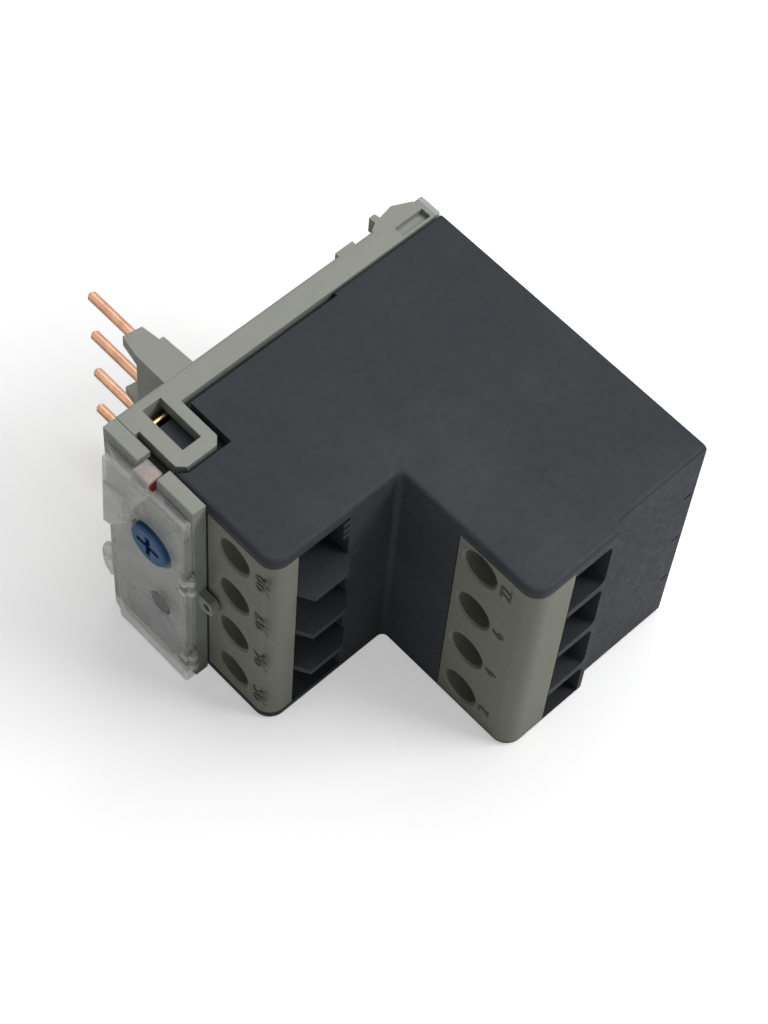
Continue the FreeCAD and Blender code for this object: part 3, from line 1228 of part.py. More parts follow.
def trip_slide():
    """Slide pushed by the bimetal tips, one window to each pole and an arm."""
    body = new_body("trip_slide")
    sketch = sketch_on(body, "XZ_Plane", "-(slide_y + slide_t)")
    rectangle(sketch, "slide_x", "slide_x + slide_w", "slide_low", "slide_high")
    for index in range(3):
        z = row_z(index, "main_pitch")
        rectangle(sketch, "strip_x - 0.3", "strip_x + bimetal_w + 0.3",
                  z + " - bimetal_t / 2 - slide_play", z + " + bimetal_t / 2 + slide_run")
    pad(body, sketch, "slide_t")
    sketch = sketch_on(body, "XZ_Plane", "-(slide_y + slide_t)")
    rectangle(sketch, "rocker_x", "slide_x + 0.4", "pivot_z + rocker_t / 2 + 0.3",
              "pivot_z + rocker_t / 2 + 1.8")
    pad(body, sketch, "slide_t")
    keep("trip_slide", body)


def contact_rocker():
    """Two-armed rocker: tail under the slide arm, nose between the contacts."""
    body = new_body("contact_rocker")
    sketch = sketch_on(body, "YZ_Plane", "rocker_x")
    rectangle(sketch, "pivot_y - rocker_nose", "pivot_y + rocker_tail",
              "pivot_z - rocker_t / 2", "pivot_z + rocker_t / 2")
    pad(body, sketch, "rocker_w")
    sketch = sketch_on(body, "YZ_Plane", "rocker_x")
    ring(sketch, "pivot_y", "pivot_z", "pivot_r + 0.8")
    pad(body, sketch, "rocker_w")
    sketch = sketch_on(body, "YZ_Plane", "rocker_x + rocker_w + 1")
    ring(sketch, "pivot_y", "pivot_z", "pivot_r + slip")
    pocket(body, sketch, "rocker_w + 2")
    keep("contact_rocker", body)
    bridges = []
    for name, low in (("lower", "contact_low"), ("upper", "pivot_z + rocker_t / 2")):
        bridges.append(brick("bridge_" + name, "rocker_x - 2.2", "room_x - 0.2",
                             "aux_bar_y", "aux_bar_y + bridge_w", low, low + " + bridge_t"))
    keep("contact_bridges", group("contact_bridges", bridges))


def mechanism_frame():
    """Moulded frame that stands in the chamber and carries the rocker's pivot."""
    body = new_body("mechanism_frame")
    left = "rocker_x - 0.2 - frame_t"
    right = "rocker_x + rocker_w + 0.2 + frame_t"
    sketch = sketch_on(body, "XY_Plane", "skin")
    rectangle(sketch, left, right, "pivot_y - frame_w / 2", "pivot_y + frame_w / 2")
    pad(body, sketch, "frame_top - skin")
    sketch = sketch_on(body, "XZ_Plane", "-(pivot_y - frame_w)")
    rectangle(sketch, "rocker_x - 0.2", "rocker_x + rocker_w + 0.2", "skin + 2.2", "10")
    rectangle(sketch, "rocker_x - 0.2", "rocker_x + rocker_w + 0.2", "11.5", "17.5")
    rectangle(sketch, "rocker_x - 0.2", "rocker_x + rocker_w + 0.2", "19.2", "frame_top + 1")
    pocket(body, sketch, "2 * frame_w")
    sketch = sketch_on(body, "YZ_Plane", "room_x + 1")
    ring(sketch, "pivot_y", "pivot_z", "pivot_r")
    pocket(body, sketch, "room_x")
    keep("mechanism_frame", body)
    pivot = rod("pivot_rod", "x", "rocker_x - 0.3 - frame_t", "pivot_y", "pivot_z", "pivot_r",
                "rocker_w + 0.6 + 2 * frame_t")
    keep("rocker_pivot", group("rocker_pivot", [pivot]))


def coil_link_pin():
    """Brass link pin behind the window of the loop latch."""
    pin = rod("coil_pin_rod", "y", "strip_web + coil_pin_r + 0.6", "skin", "coil_pin_z",
              "coil_pin_r", "6.4")
    keep("coil_link_pin", group("coil_link_pin", [pin]))


# --- Build --------------------------------------------------------------------

main_housing()
contactor_side_cover()
rear_plate()
terminal_blocks()
front_plate()
clear_cover()
cover_hinge_pins()
setting_dial()
dial_cam()
adjusting_slide()
buttons()
for name, x, z in BUTTONS:
    button_spring(name, x, z)
for index, label in enumerate(("power_pin_1", "power_pin_2", "power_pin_3", "link_pin")):
    bent_pin(label, row_z(index, "pin_pitch"))
for index in range(3):
    power_path(index)
link_bar()
screws_and_clamps("aux", "aux_hole_x", "aux_pitch", "aux_head_y",
                  "aux_bar_y + leaf_t + 0.6")
screws_and_clamps("main", "main_hole_x", "main_pitch", "main_head_y", "bar_y + metal_t + 0.8")
contact_plates()
trip_slide()
contact_rocker()
mechanism_frame()
coil_link_pin()
doc.recompute()

for thing in doc.Objects:
    if "Invalid" in thing.State or "Error" in thing.State:
        raise RuntimeError("%s failed: %s" % (thing.Label, thing.State))
for label, thing in nodes.items():
    if thing.Shape.isNull() or not thing.Shape.isValid():
        raise RuntimeError(label + " has no valid shape")
    thing.Shape.exportStep("parts/%s.step" % label)
    box = thing.Shape.BoundBox
    print("%-24s %2d solids %9.2f mm3  x %.2f..%.2f y %.2f..%.2f z %.2f..%.2f" % (
        label, len(thing.Shape.Solids), thing.Shape.Volume, box.XMin, box.XMax,
        box.YMin, box.YMax, box.ZMin, box.ZMax))
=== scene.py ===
"""Thermal overload relay, dressed over its CAD frame.

The frame is in metres: X from the contactor side to the wires, Y from the front
face into the device, Z up from the side it lies on. Shapes are written in device
millimetres from the contactor face and the front face, and at() places them.
"""
import json
import logging
import math
from dataclasses import dataclass, field
from enum import Enum

import bmesh
import bpy
from mathutils import Matrix, Vector


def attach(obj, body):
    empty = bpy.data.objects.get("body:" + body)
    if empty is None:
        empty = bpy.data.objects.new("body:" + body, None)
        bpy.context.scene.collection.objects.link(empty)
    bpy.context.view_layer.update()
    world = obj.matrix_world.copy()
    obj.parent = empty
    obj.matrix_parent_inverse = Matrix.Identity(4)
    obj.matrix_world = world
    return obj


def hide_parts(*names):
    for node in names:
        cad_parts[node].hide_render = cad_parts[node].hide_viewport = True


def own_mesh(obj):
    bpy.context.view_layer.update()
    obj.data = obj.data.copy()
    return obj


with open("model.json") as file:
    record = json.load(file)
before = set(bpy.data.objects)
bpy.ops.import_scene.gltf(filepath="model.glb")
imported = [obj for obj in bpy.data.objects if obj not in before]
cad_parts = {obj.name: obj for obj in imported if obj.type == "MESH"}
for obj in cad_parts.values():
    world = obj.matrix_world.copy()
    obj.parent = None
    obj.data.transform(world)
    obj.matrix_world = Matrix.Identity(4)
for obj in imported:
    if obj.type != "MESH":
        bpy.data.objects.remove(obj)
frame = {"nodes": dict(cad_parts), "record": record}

LOG = logging.getLogger("relay")
MM = 0.001
SHIFT = Vector((-17.35, -25.5, 0.0))  # from device millimetres to the frame's origin
CAD_MERGE = 2e-6  # corners of a CAD mesh this close in metres are one
CUT_MERGE = 1e-6  # the same after a carving
FINE_MERGE = 1e-7  # the same for turned shapes and digits
FLAT = math.radians(0.8)  # faces that turn less than this are one face
ROUND_FROM = math.radians(25)  # edges that turn more than this are eased
DIAL = (11.6, 31.2)  # the dial's X and Z in device millimetres


class Facing(Enum):
    """Which way the thickness of a flat outline runs."""

    FRONT = "front"
    WIRES = "wires"
    UP = "up"


def at(x: float, y: float, z: float) -> Vector:
    """A place in the frame from device millimetres.

    Args:
        x: Millimetres from the contactor face towards the wires.
        y: Millimetres from the front face into the device.
        z: Millimetres above the side it lies on.

    Returns:
        The place in metres.
    """
    return (Vector((x, y, z)) + SHIFT) * MM


# --- Finishes ---------------------------------------------------------------


class Nodes:
    """A small helper round one material's node tree."""

    def __init__(self, name: str) -> None:
        """Starts a material with a Principled shader.

        Args:
            name: Name of the material.
        """
        self.material = bpy.data.materials.new(name)
        self.material.use_nodes = True
        self.tree = self.material.node_tree
        self.shader = self.tree.nodes["Principled BSDF"]
        place = self.tree.nodes.new("ShaderNodeTexCoord")
        self.place = place.outputs["Object"]

    def add(self, kind: str, **values: object) -> bpy.types.Node:
        """Adds a node and sets its inputs by name.

        Args:
            kind: The node's type.
            **values: Input values; underscores stand for spaces.

        Returns:
            The new node.
        """
        node = self.tree.nodes.new(kind)
        for key, value in values.items():
            node.inputs[key.replace("_", " ")].default_value = value
        return node

    def join(self, start: bpy.types.NodeSocket, end: bpy.types.NodeSocket) -> None:
        """Links two sockets.

        Args:
            start: The output.
            end: The input.
        """
        self.tree.links.new(start, end)

    def noise(self, scale: float, detail: float = 3.0, rough: float = 0.5,
              stretch: tuple[float, float, float] | None = None) -> bpy.types.NodeSocket:
        """A noise pattern on the object's own coordinates.

        Args:
            scale: Pattern repeats per metre.
            detail: Octaves of the noise.
            rough: Roughness of the noise.
            stretch: Scale along X, Y and Z, if the pattern has a direction.

        Returns:
            The noise factor.
        """
        node = self.add("ShaderNodeTexNoise", Scale=scale, Detail=detail, Roughness=rough)
        if stretch is None:
            self.join(self.place, node.inputs["Vector"])
        else:
            turn = self.add("ShaderNodeMapping", Scale=stretch)
            self.join(self.place, turn.inputs["Vector"])
            self.join(turn.outputs["Vector"], node.inputs["Vector"])
        return node.outputs["Fac"]

    def remap(self, value: bpy.types.NodeSocket, low: float, high: float,
              to_low: float, to_high: float) -> bpy.types.NodeSocket:
        """Maps a range to another, clamped.

        Args:
            value: The socket to map.
            low: Start of its range.
            high: End of its range.
            to_low: Result at the start.
            to_high: Result at the end.

        Returns:
            The mapped value.
        """
        node = self.tree.nodes.new("ShaderNodeMapRange")
        for key, number in (("From Min", low), ("From Max", high),
                            ("To Min", to_low), ("To Max", to_high)):
            node.inputs[key].default_value = number
        self.join(value, node.inputs["Value"])
        return node.outputs["Result"]

    def mix(self, factor: bpy.types.NodeSocket, first: tuple[float, ...],
            second: tuple[float, ...]) -> bpy.types.NodeSocket:
        """Mixes two colours.

        Args:
            factor: Share of the second colour, from 0 to 1.
            first: Linear colour at 0.
            second: Linear colour at 1.

        Returns:
            The mixed colour.
        """
        node = self.tree.nodes.new("ShaderNodeMix")
        node.data_type = "RGBA"
        colours = [s for s in node.inputs if s.type == "RGBA"]
        colours[0].default_value = (*first[:3], 1.0)
        colours[1].default_value = (*second[:3], 1.0)
        self.join(factor, node.inputs[0])
        return [s for s in node.outputs if s.type == "RGBA"][0]

    def bump(self, height: bpy.types.NodeSocket, strength: float, distance: float) -> None:
        """Puts a bump on the shader.

        Args:
            height: The pattern.
            strength: Strength from 0 to 1.
            distance: Height of the bump in metres.
        """
        node = self.add("ShaderNodeBump", Strength=strength, Distance=distance)
        self.join(height, node.inputs["Height"])
        self.join(node.outputs["Normal"], self.shader.inputs["Normal"])

    def times(self, first: bpy.types.NodeSocket,
              second: bpy.types.NodeSocket) -> bpy.types.NodeSocket:
        """Multiplies two values.

        Args:
            first: One value.
            second: The other.

        Returns:
            Their product.
        """
        node = self.tree.nodes.new("ShaderNodeMath")
        node.operation = "MULTIPLY"
        self.join(first, node.inputs[0])
        self.join(second, node.inputs[1])
        return node.outputs[0]


@dataclass(frozen=True)
class Moulding:
    """An opaque moulded plastic with a spark-eroded grain.

    Attributes:
        name: Name of the material.
        colour: Linear colour of the plastic.
        haze: Linear colour of its rubbed, dusty patches.
        roughness: Middle roughness.
        grain: Depth of the grain in metres.
        grain_scale: Grain repeats per metre.
        haze_share: How much of the surface is hazy, from 0 to 1.
        gloss: Strength of the shine, from 0 to 1.
    """

    name: str
    colour: tuple[float, float, float]
    haze: tuple[float, float, float]
    roughness: float = 0.5
    grain: float = 0.00003
    grain_scale: float = 2600.0
    haze_share: float = 0.35
    gloss: float = 0.42

    def make(self) -> bpy.types.Material:
        """Builds the material.

        Returns:
            The material.
        """
        nodes = Nodes(self.name)
        shader = nodes.shader
        cloud = nodes.noise(55.0, 5.0, 0.62)
        streak = nodes.noise(60.0, 4.0, 0.6, (1.0, 0.25, 1.0))
        both = nodes.times(nodes.remap(cloud, 0.42, 0.68, 0.15, 1.0),
                           nodes.remap(streak, 0.40, 0.66, 0.25, 1.0))
        amount = nodes.remap(both, 0.0, 1.0, 0.0, self.haze_share * 2.0)
        nodes.join(nodes.mix(amount, self.colour, self.haze), shader.inputs["Base Color"])
        speckle = nodes.noise(self.grain_scale * 0.35, 2.0, 0.5)
        nodes.join(nodes.remap(speckle, 0.3, 0.7, self.roughness - 0.07, self.roughness + 0.07),
                   shader.inputs["Roughness"])
        nodes.bump(nodes.noise(self.grain_scale, 2.0, 0.55), 0.55, self.grain)
        shader.inputs["Specular IOR Level"].default_value = self.gloss
        return nodes.material


@dataclass(frozen=True)
class ClearMoulding:
    """Thin frosted plastic: each skin veils what lies behind it, more where it turns away.

    Attributes:
        name: Name of the material.
        colour: Linear colour of the veil.
        pale: Its colour in the milkier patches.
        thin: Veil of a skin seen head on, from 0 to 1.
        thick: Veil of a skin seen from its edge.
        roughness: Roughness of the frosted skin.
    """

    name: str = "frosted_cover"
    colour: tuple[float, float, float] = (0.72, 0.73, 0.69)
    pale: tuple[float, float, float] = (0.80, 0.81, 0.78)
    thin: float = 0.27
    thick: float = 0.80
    roughness: float = 0.30

    def make(self) -> bpy.types.Material:
        """Builds the material.

        Returns:
            The material.
        """
        nodes = Nodes(self.name)
        shader = nodes.shader
        cloud = nodes.noise(150.0, 3.0, 0.55)
        nodes.join(nodes.mix(cloud, self.colour, self.pale), shader.inputs["Base Color"])
        nodes.join(nodes.remap(cloud, 0.3, 0.7, self.roughness - 0.08, self.roughness + 0.10),
                   shader.inputs["Roughness"])
        turn = nodes.add("ShaderNodeLayerWeight", Blend=0.5)
        veil = nodes.remap(turn.outputs["Facing"], 0.55, 0.97, self.thin, self.thick)
        patch = nodes.remap(cloud, 0.35, 0.68, 0.88, 1.12)
        nodes.join(nodes.times(veil, patch), shader.inputs["Alpha"])
        nodes.bump(nodes.noise(90.0, 1.0, 0.4), 0.06, 0.00010)
        shader.inputs["Specular IOR Level"].default_value = 0.9
        return nodes.material


@dataclass(frozen=True)
class Metal:
    """A drawn, rolled or plated metal.

    Attributes:
        name: Name of the material.
        colour: Linear colour where it is bright.
        dull: Linear colour of its duller spots.
        roughness: Middle roughness.
    """

    name: str
    colour: tuple[float, float, float]
    dull: tuple[float, float, float]
    roughness: float = 0.28

    def make(self) -> bpy.types.Material:
        """Builds the material.

        Returns:
            The material.
        """
        nodes = Nodes(self.name)
        shader = nodes.shader
        spots = nodes.noise(420.0, 4.0, 0.6)
        nodes.join(nodes.mix(nodes.remap(spots, 0.4, 0.7, 0.0, 1.0), self.colour, self.dull),
                   shader.inputs["Base Color"])
        lines = nodes.noise(2500.0, 2.0, 0.5, (0.05, 1.0, 1.0))
        nodes.join(nodes.remap(lines, 0.3, 0.7, self.roughness - 0.08, self.roughness + 0.1),
                   shader.inputs["Roughness"])
        nodes.bump(lines, 0.3, 0.00001)
        shader.inputs["Metallic"].default_value = 1.0
        return nodes.material


class Finish(Enum):
    """Every finish of the relay."""

    BLACK = Moulding("black_moulding", (0.0350, 0.0405, 0.0470), (0.064, 0.071, 0.076), 0.55,
                     gloss=0.16)
    GREY = Moulding("grey_moulding", (0.318, 0.330, 0.292), (0.345, 0.355, 0.325), 0.50,
                    0.00002, 2200.0, 0.25)
    REAR = Moulding("rear_moulding", (0.46, 0.47, 0.45), (0.50, 0.51, 0.49), 0.50,
                    0.00002, 2200.0, 0.2)
    # Grey of the terminal blocks, darker than GREY: painted shade for their front faces, which
    # turn away from the lamps.
    BLOCK = Moulding("block_grey_painted_shade", (0.216, 0.224, 0.178), (0.238, 0.245, 0.205), 0.50,
                     gloss=0.3)
    # Grey of the raised numbers, darker still: painted shade in their relief.
    MARK = Moulding("number_grey_painted_shade", (0.105, 0.109, 0.088), (0.130, 0.135, 0.112), 0.50,
                    gloss=0.2)
    TEST = Moulding("test_moulding", (0.20, 0.205, 0.185), (0.24, 0.245, 0.225), 0.42,
                    0.00001, 2500.0, 0.2)
    BLUE = Moulding("blue_moulding", (0.010, 0.085, 0.235), (0.018, 0.100, 0.260), 0.34,
                    0.00001, 2500.0, 0.3)
    RED = Moulding("red_moulding", (0.30, 0.035, 0.030), (0.36, 0.06, 0.05), 0.36,
                   0.00001, 2500.0, 0.3)
    WHITE = Moulding("natural_moulding", (0.66, 0.65, 0.60), (0.70, 0.69, 0.65), 0.5,
                     0.00001, 2200.0, 0.2)
    INK = Moulding("blue_print", (0.035, 0.075, 0.13), (0.05, 0.09, 0.15), 0.6,
                   0.00001, 2200.0, 0.2)
    CLEAR = ClearMoulding()
    # Thicker, milkier skin of the raised parts; its paler colour is also painted light that
    # comes through the plastic from behind.
    MILKY = ClearMoulding("milky_cover_painted_light", (0.86, 0.87, 0.83), (0.92, 0.93, 0.90), 0.52, 0.88)
    COPPER = Metal("bright_copper", (0.72, 0.41, 0.27), (0.52, 0.27, 0.17), 0.27)
    BRASS = Metal("bright_brass", (0.68, 0.50, 0.25), (0.48, 0.34, 0.16), 0.25)
    STEEL = Metal("plated_steel", (0.52, 0.53, 0.54), (0.36, 0.37, 0.37), 0.33)
    BIMETAL = Metal("rolled_bimetal", (0.45, 0.42, 0.38), (0.32, 0.29, 0.26), 0.38)

    def material(self) -> bpy.types.Material:
        """The finish's material, built once.

        Returns:
            The material.
        """
        made = bpy.data.materials.get(self.value.name)
        return made if made else self.value.make()


# --- Mesh helpers -----------------------------------------------------------


class Mould:
    """Turns CAD nodes and bmesh shapes into finished pieces."""

    @staticmethod
    def piece(mesh: bmesh.types.BMesh, name: str, body: str, finish: Finish,
              slot: str, sharp: float = 35.0) -> bpy.types.Object:
        """Makes an object of a bmesh that rides on a body.

        Args:
            mesh: The shape; it is freed.
            name: Name of the piece.
            body: CAD body it rides on.
            finish: Its finish.
            slot: The record's material slot; not used.
            sharp: Angle in degrees above which an edge stays sharp.

        Returns:
            The new object.
        """
        data = bpy.data.meshes.new(name)
        for face in mesh.faces:
            face.smooth = True
        for edge in mesh.edges:
            if len(edge.link_faces) == 2:
                edge.smooth = edge.calc_face_angle(0.0) < math.radians(sharp)
        mesh.to_mesh(data)
        mesh.free()
        item = bpy.data.objects.new(name, data)
        bpy.context.scene.collection.objects.link(item)
        data.materials.append(finish.material())
        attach(item, body)
        LOG.info("piece %s: %d faces", name, len(data.polygons))
        return item

    @staticmethod
    def copy_of(node: str) -> bmesh.types.BMesh:
        """A merged copy of a CAD node with its flat faces made whole.

        Args:
            node: CAD node.

        Returns:
            The copy.
        """
        mesh = bmesh.new()
        mesh.from_mesh(frame["nodes"][node].data)
        bmesh.ops.remove_doubles(mesh, verts=mesh.verts, dist=CAD_MERGE)
        Mould.whole_faces(mesh)
        return mesh

    @staticmethod
    def whole_faces(mesh: bmesh.types.BMesh) -> None:
        """Makes flat faces whole.

        Args:
            mesh: The shape to change.
        """
        bmesh.ops.dissolve_limit(mesh, angle_limit=FLAT, verts=mesh.verts, edges=mesh.edges,
                                 use_dissolve_boundaries=False)

    @staticmethod
    def soften(item: bpy.types.Object, width: float) -> None:
        """Rounds the edges of a piece that turn more than 32 degrees, with a live bevel.

        Args:
            item: The piece.
            width: Bevel width in metres.
        """
        bevel = item.modifiers.new("soft_edges", "BEVEL")
        bevel.width = width
        bevel.segments = 2
        bevel.limit_method = "ANGLE"
        bevel.angle_limit = math.radians(32.0)
        bevel.harden_normals = True
        bevel.use_clamp_overlap = True

    @staticmethod
    def eased(mesh: bmesh.types.BMesh, soft: float) -> bmesh.types.BMesh:
        """Rounds the corners of a shape.

        Args:
            mesh: The shape to change.
            soft: Size of the rounding in metres.

        Returns:
            The same shape.
        """
        edges = [edge for edge in mesh.edges
                 if len(edge.link_faces) == 2 and edge.calc_face_angle(0.0) > ROUND_FROM]
        bmesh.ops.bevel(mesh, geom=edges, offset=soft, segments=3, profile=0.5,
                        affect="EDGES", material=-1, clamp_overlap=True)
        return mesh

    @staticmethod
    def dress(node: str, body: str, finish: Finish, slot: str, width: float,
              carve: "Carving | None" = None) -> bpy.types.Object:
        """Replaces a CAD node by its copy with soft edges and the finish.

        Args:
            node: CAD node.
            body: The body it rides on.
            finish: Finish of the piece.
            slot: The record's material slot.
            width: Width of its soft edges in metres.
            carve: Cuts that are made first, if any.

        Returns:
            The new piece.
        """
        mesh = Mould.copy_of(node)
        if carve is not None:
            mesh = carve.cut(mesh)
            Mould.whole_faces(mesh)
        item = Mould.piece(mesh, node + "_dressed", body, finish, slot)
        Mould.soften(item, width)
        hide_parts(node)
        return item

    @staticmethod
    def brick(low: Vector, high: Vector, soft: float = 0.0) -> bmesh.types.BMesh:
        """A block between two corners.

        Args:
            low: One corner in metres.
            high: The opposite corner.
            soft: Size of its bevelled edges in metres, if any.

        Returns:
            The block.
        """
        mesh = bmesh.new()
        bmesh.ops.create_cube(mesh, size=1.0)
        bmesh.ops.scale(mesh, vec=high - low, verts=mesh.verts)
        bmesh.ops.translate(mesh, vec=(low + high) / 2, verts=mesh.verts)
        if soft > 0.0:
            bmesh.ops.bevel(mesh, geom=mesh.edges[:], offset=soft, segments=2, profile=0.5,
                            affect="EDGES", material=-1)
        return mesh

    @staticmethod
    def prism(points: list[tuple[float, float]], low: float, high: float,
              facing: Facing) -> bmesh.types.BMesh:
        """A flat outline given thickness.

        Args:
            points: Corners in device millimetres: X, Y for UP; X, Z for FRONT;
                Y, Z for WIRES.
            low: Lower level along the facing direction, in millimetres.
            high: Upper level.
            facing: The direction that the thickness runs in.

        Returns:
            The closed shape.
        """
        def lift(u: float, v: float, w: float) -> Vector:
            """Places a corner of the outline.

            Args:
                u: Its first coordinate.
                v: Its second coordinate.
                w: Level along the facing direction.

            Returns:
                The place in metres.
            """
            if facing is Facing.UP:
                return at(u, v, w)
            if facing is Facing.FRONT:
                return at(u, w, v)
            return at(w, u, v)

        mesh = bmesh.new()
        face = mesh.faces.new([mesh.verts.new(lift(u, v, low)) for u, v in points])
        grown = bmesh.ops.extrude_face_region(mesh, geom=[face])
        moved = [g for g in grown["geom"] if isinstance(g, bmesh.types.BMVert)]
        bmesh.ops.translate(mesh, verts=moved, vec=lift(0, 0, high) - lift(0, 0, low))
        bmesh.ops.recalc_face_normals(mesh, faces=mesh.faces)
        return mesh

    @staticmethod
    def turned(profile: list[tuple[float, float]], x: float, z: float,
               steps: int = 48) -> bmesh.types.BMesh:
        """A shape turned about a line along Y.

        Args:
            profile: Pairs of Y and radius in device millimetres.
            x: Line's X in millimetres.
            z: Line's Z in millimetres.
            steps: Steps round.

        Returns:
            The turned shape.
        """
        mesh = bmesh.new()
        line = [mesh.verts.new(at(x + radius, y, z)) for y, radius in profile]
        edges = [mesh.edges.new(pair) for pair in zip(line, line[1:])]
        bmesh.ops.spin(mesh, geom=line + edges, cent=at(x, 0, z), axis=(0, 1, 0),
                       angle=math.tau, steps=steps, use_merge=True)
        bmesh.ops.remove_doubles(mesh, verts=mesh.verts, dist=FINE_MERGE)
        bmesh.ops.recalc_face_normals(mesh, faces=mesh.faces)
        return mesh

    @staticmethod
    def upright(x: float, y: float, radius: float, low: float, high: float) -> bmesh.types.BMesh:
        """A round bar along Z, in device millimetres.

        Args:
            x: The bar's X.
            y: The bar's Y.
            radius: Its radius.
            low: Its lower end.
            high: Its upper end.

        Returns:
            The bar.
        """
        mesh = bmesh.new()
        bmesh.ops.create_cone(mesh, cap_ends=True, segments=32, radius1=radius * MM,
                              radius2=radius * MM, depth=(high - low) * MM)
        bmesh.ops.translate(mesh, verts=mesh.verts, vec=at(x, y, (low + high) / 2))
        return mesh

    @staticmethod
    def tube(x: float, z: float, radius: float, wall: float, front: float,
             back: float) -> bmesh.types.BMesh:
        """A ring about a line along Y, in device millimetres.

        Args:
            x: The line's X.
            z: The line's Z.
            radius: Outer radius.
            wall: Thickness of the ring.
            front: Y of its front.
            back: Y of its back.

        Returns:
            The ring.
        """
        return Mould.turned([(front, radius - wall), (front, radius), (back, radius),
                             (back, radius - wall), (front, radius - wall)], x, z, 64)


@dataclass
class Carving:
    """Shapes joined to a piece, then shapes cut out of it, before it is dressed.

    Attributes:
        cutters: Shapes to cut away.
        added: Shapes to join on first.
    """

    cutters: list[bmesh.types.BMesh] = field(default_factory=list)
    added: list[bmesh.types.BMesh] = field(default_factory=list)

    def cut(self, mesh: bmesh.types.BMesh) -> bmesh.types.BMesh:
        """Joins and cuts all the shapes.

        Args:
            mesh: The shape to start from; it is freed.

        Returns:
            The finished shape.
        """
        stock = self._object(mesh, "stock")
        jobs = [(tool, "UNION") for tool in self.added]
        jobs += [(tool, "DIFFERENCE") for tool in self.cutters]
        tools = []
        for shape, operation in jobs:
            tool = self._object(shape, "tool")
            tools.append(tool)
            step = stock.modifiers.new("carve", "BOOLEAN")
            step.operation = operation
            step.solver = "EXACT"
            step.object = tool
        graph = bpy.context.evaluated_depsgraph_get()
        data = bpy.data.meshes.new_from_object(stock.evaluated_get(graph))
        result = bmesh.new()
        result.from_mesh(data)
        for item in [stock, *tools]:
            bpy.data.objects.remove(item, do_unlink=True)
        bmesh.ops.remove_doubles(result, verts=result.verts, dist=CUT_MERGE)
        return result

    @staticmethod
    def _object(mesh: bmesh.types.BMesh, name: str) -> bpy.types.Object:
        """A plain object for a modifier to read.

        Args:
            mesh: Its shape; it is freed.
            name: Name of the object.

        Returns:
            The object.
        """
        data = bpy.data.meshes.new(name)
        bmesh.ops.triangulate(mesh, faces=mesh.faces[:])
        mesh.to_mesh(data)
        mesh.free()
        item = bpy.data.objects.new(name, data)
        bpy.context.scene.collection.objects.link(item)
        return item


@dataclass
class Numeral:
    """A plain moulded number.

    Attributes:
        text: Its digits.
        x: Middle, in device millimetres.
        y: The face it stands on.
        z: Middle.
        height: Digit height in millimetres.
        depth: How far it stands out.
        sunk: How far its back is let into the face.
        cap: Height of a digit as a share of the font's size.
    """

    text: str
    x: float
    y: float
    z: float
    height: float = 2.8
    depth: float = 0.14
    sunk: float = 0.05
    cap: float = 0.7

    def build(self, name: str, body: str, finish: Finish, slot: str) -> bpy.types.Object:
        """Makes the number, read with the contactor side up.

        Args:
            name: Name of the piece.
            body: The body it rides on.
            finish: Finish of the digits.
            slot: The record's material slot.

        Returns:
            The piece.
        """
        curve = bpy.data.curves.new(name, "FONT")
        curve.body = self.text
        curve.align_x = "CENTER"
        curve.align_y = "CENTER"
        curve.size = self.height / self.cap * MM
        curve.extrude = (self.depth + self.sunk) / 2 * MM
        curve.resolution_u = 3
        item = bpy.data.objects.new(name + "_text", curve)
        bpy.context.scene.collection.objects.link(item)
        graph = bpy.context.evaluated_depsgraph_get()
        data = bpy.data.meshes.new_from_object(item.evaluated_get(graph))
        bpy.data.objects.remove(item, do_unlink=True)
        mesh = bmesh.new()
        mesh.from_mesh(data)
        turn = Matrix(((0, -1, 0), (0, 0, -1), (1, 0, 0))).to_4x4()
        bmesh.ops.transform(mesh, matrix=turn, verts=mesh.verts)
        bmesh.ops.translate(mesh, verts=mesh.verts,
                            vec=at(self.x, self.y - (self.depth - self.sunk) / 2, self.z))
        bmesh.ops.remove_doubles(mesh, verts=mesh.verts, dist=FINE_MERGE)
        return Mould.piece(mesh, name, body, finish, slot)


# --- Sub-assemblies ---------------------------------------------------------


@dataclass
class Housing:
    """Black shell with notches at its rear edge and ribs in a wire entry.

    Attributes:
        soft: Width of its soft edges in metres.
        notches: Middles of the rear notches, along Z.
        notch: Half height of a notch.
        ribs: Lower end of the first rib, rib spacing and rib height.
    """

    soft: float = 0.00018
    notches: tuple[float, ...] = (33.8, 22.5, 11.2)
    notch: float = 0.25
    ribs: tuple[float, float, float] = (38.6, 1.5, 0.7)

    def build(self) -> None:
        """Dresses the shell."""
        cuts = Carving()
        for level in self.notches:
            cuts.cutters.append(Mould.brick(at(54.9, 53.5, level - self.notch),
                                            at(55.5, 55.1, level + self.notch)))
        Mould.dress("main_housing", "housing", Finish.BLACK, "black_plastic", self.soft, cuts)
        self.entry_ribs()

    def entry_ribs(self) -> None:
        """Fine ribs at the inner end of the top auxiliary wire entry."""
        first, spacing, tall = self.ribs
        for index in range(3):
            low = first + spacing * index
            mesh = Mould.brick(at(30.9, 12.4, low), at(31.25, 13.9, low + tall), 0.0001)
            Mould.piece(mesh, "entry_rib_%d" % index, "housing", Finish.BLACK, "black_plastic")


@dataclass
class ContactorCover:
    """Grey strip with latches, pin shroud and hooks, and the rear plate beside it.

    Attributes:
        soft: Width of the strip's soft edges in metres.
        plate_soft: Width of the plate's soft edges in metres.
    """

    soft: float = 0.00015
    plate_soft: float = 0.0001

    def build(self) -> None:
        """Dresses the strip and the rear plate."""
        Mould.dress("contactor_side_cover", "housing", Finish.GREY, "grey_plastic", self.soft)
        Mould.dress("rear_plate", "housing", Finish.REAR, "rear_grey", self.plate_soft)


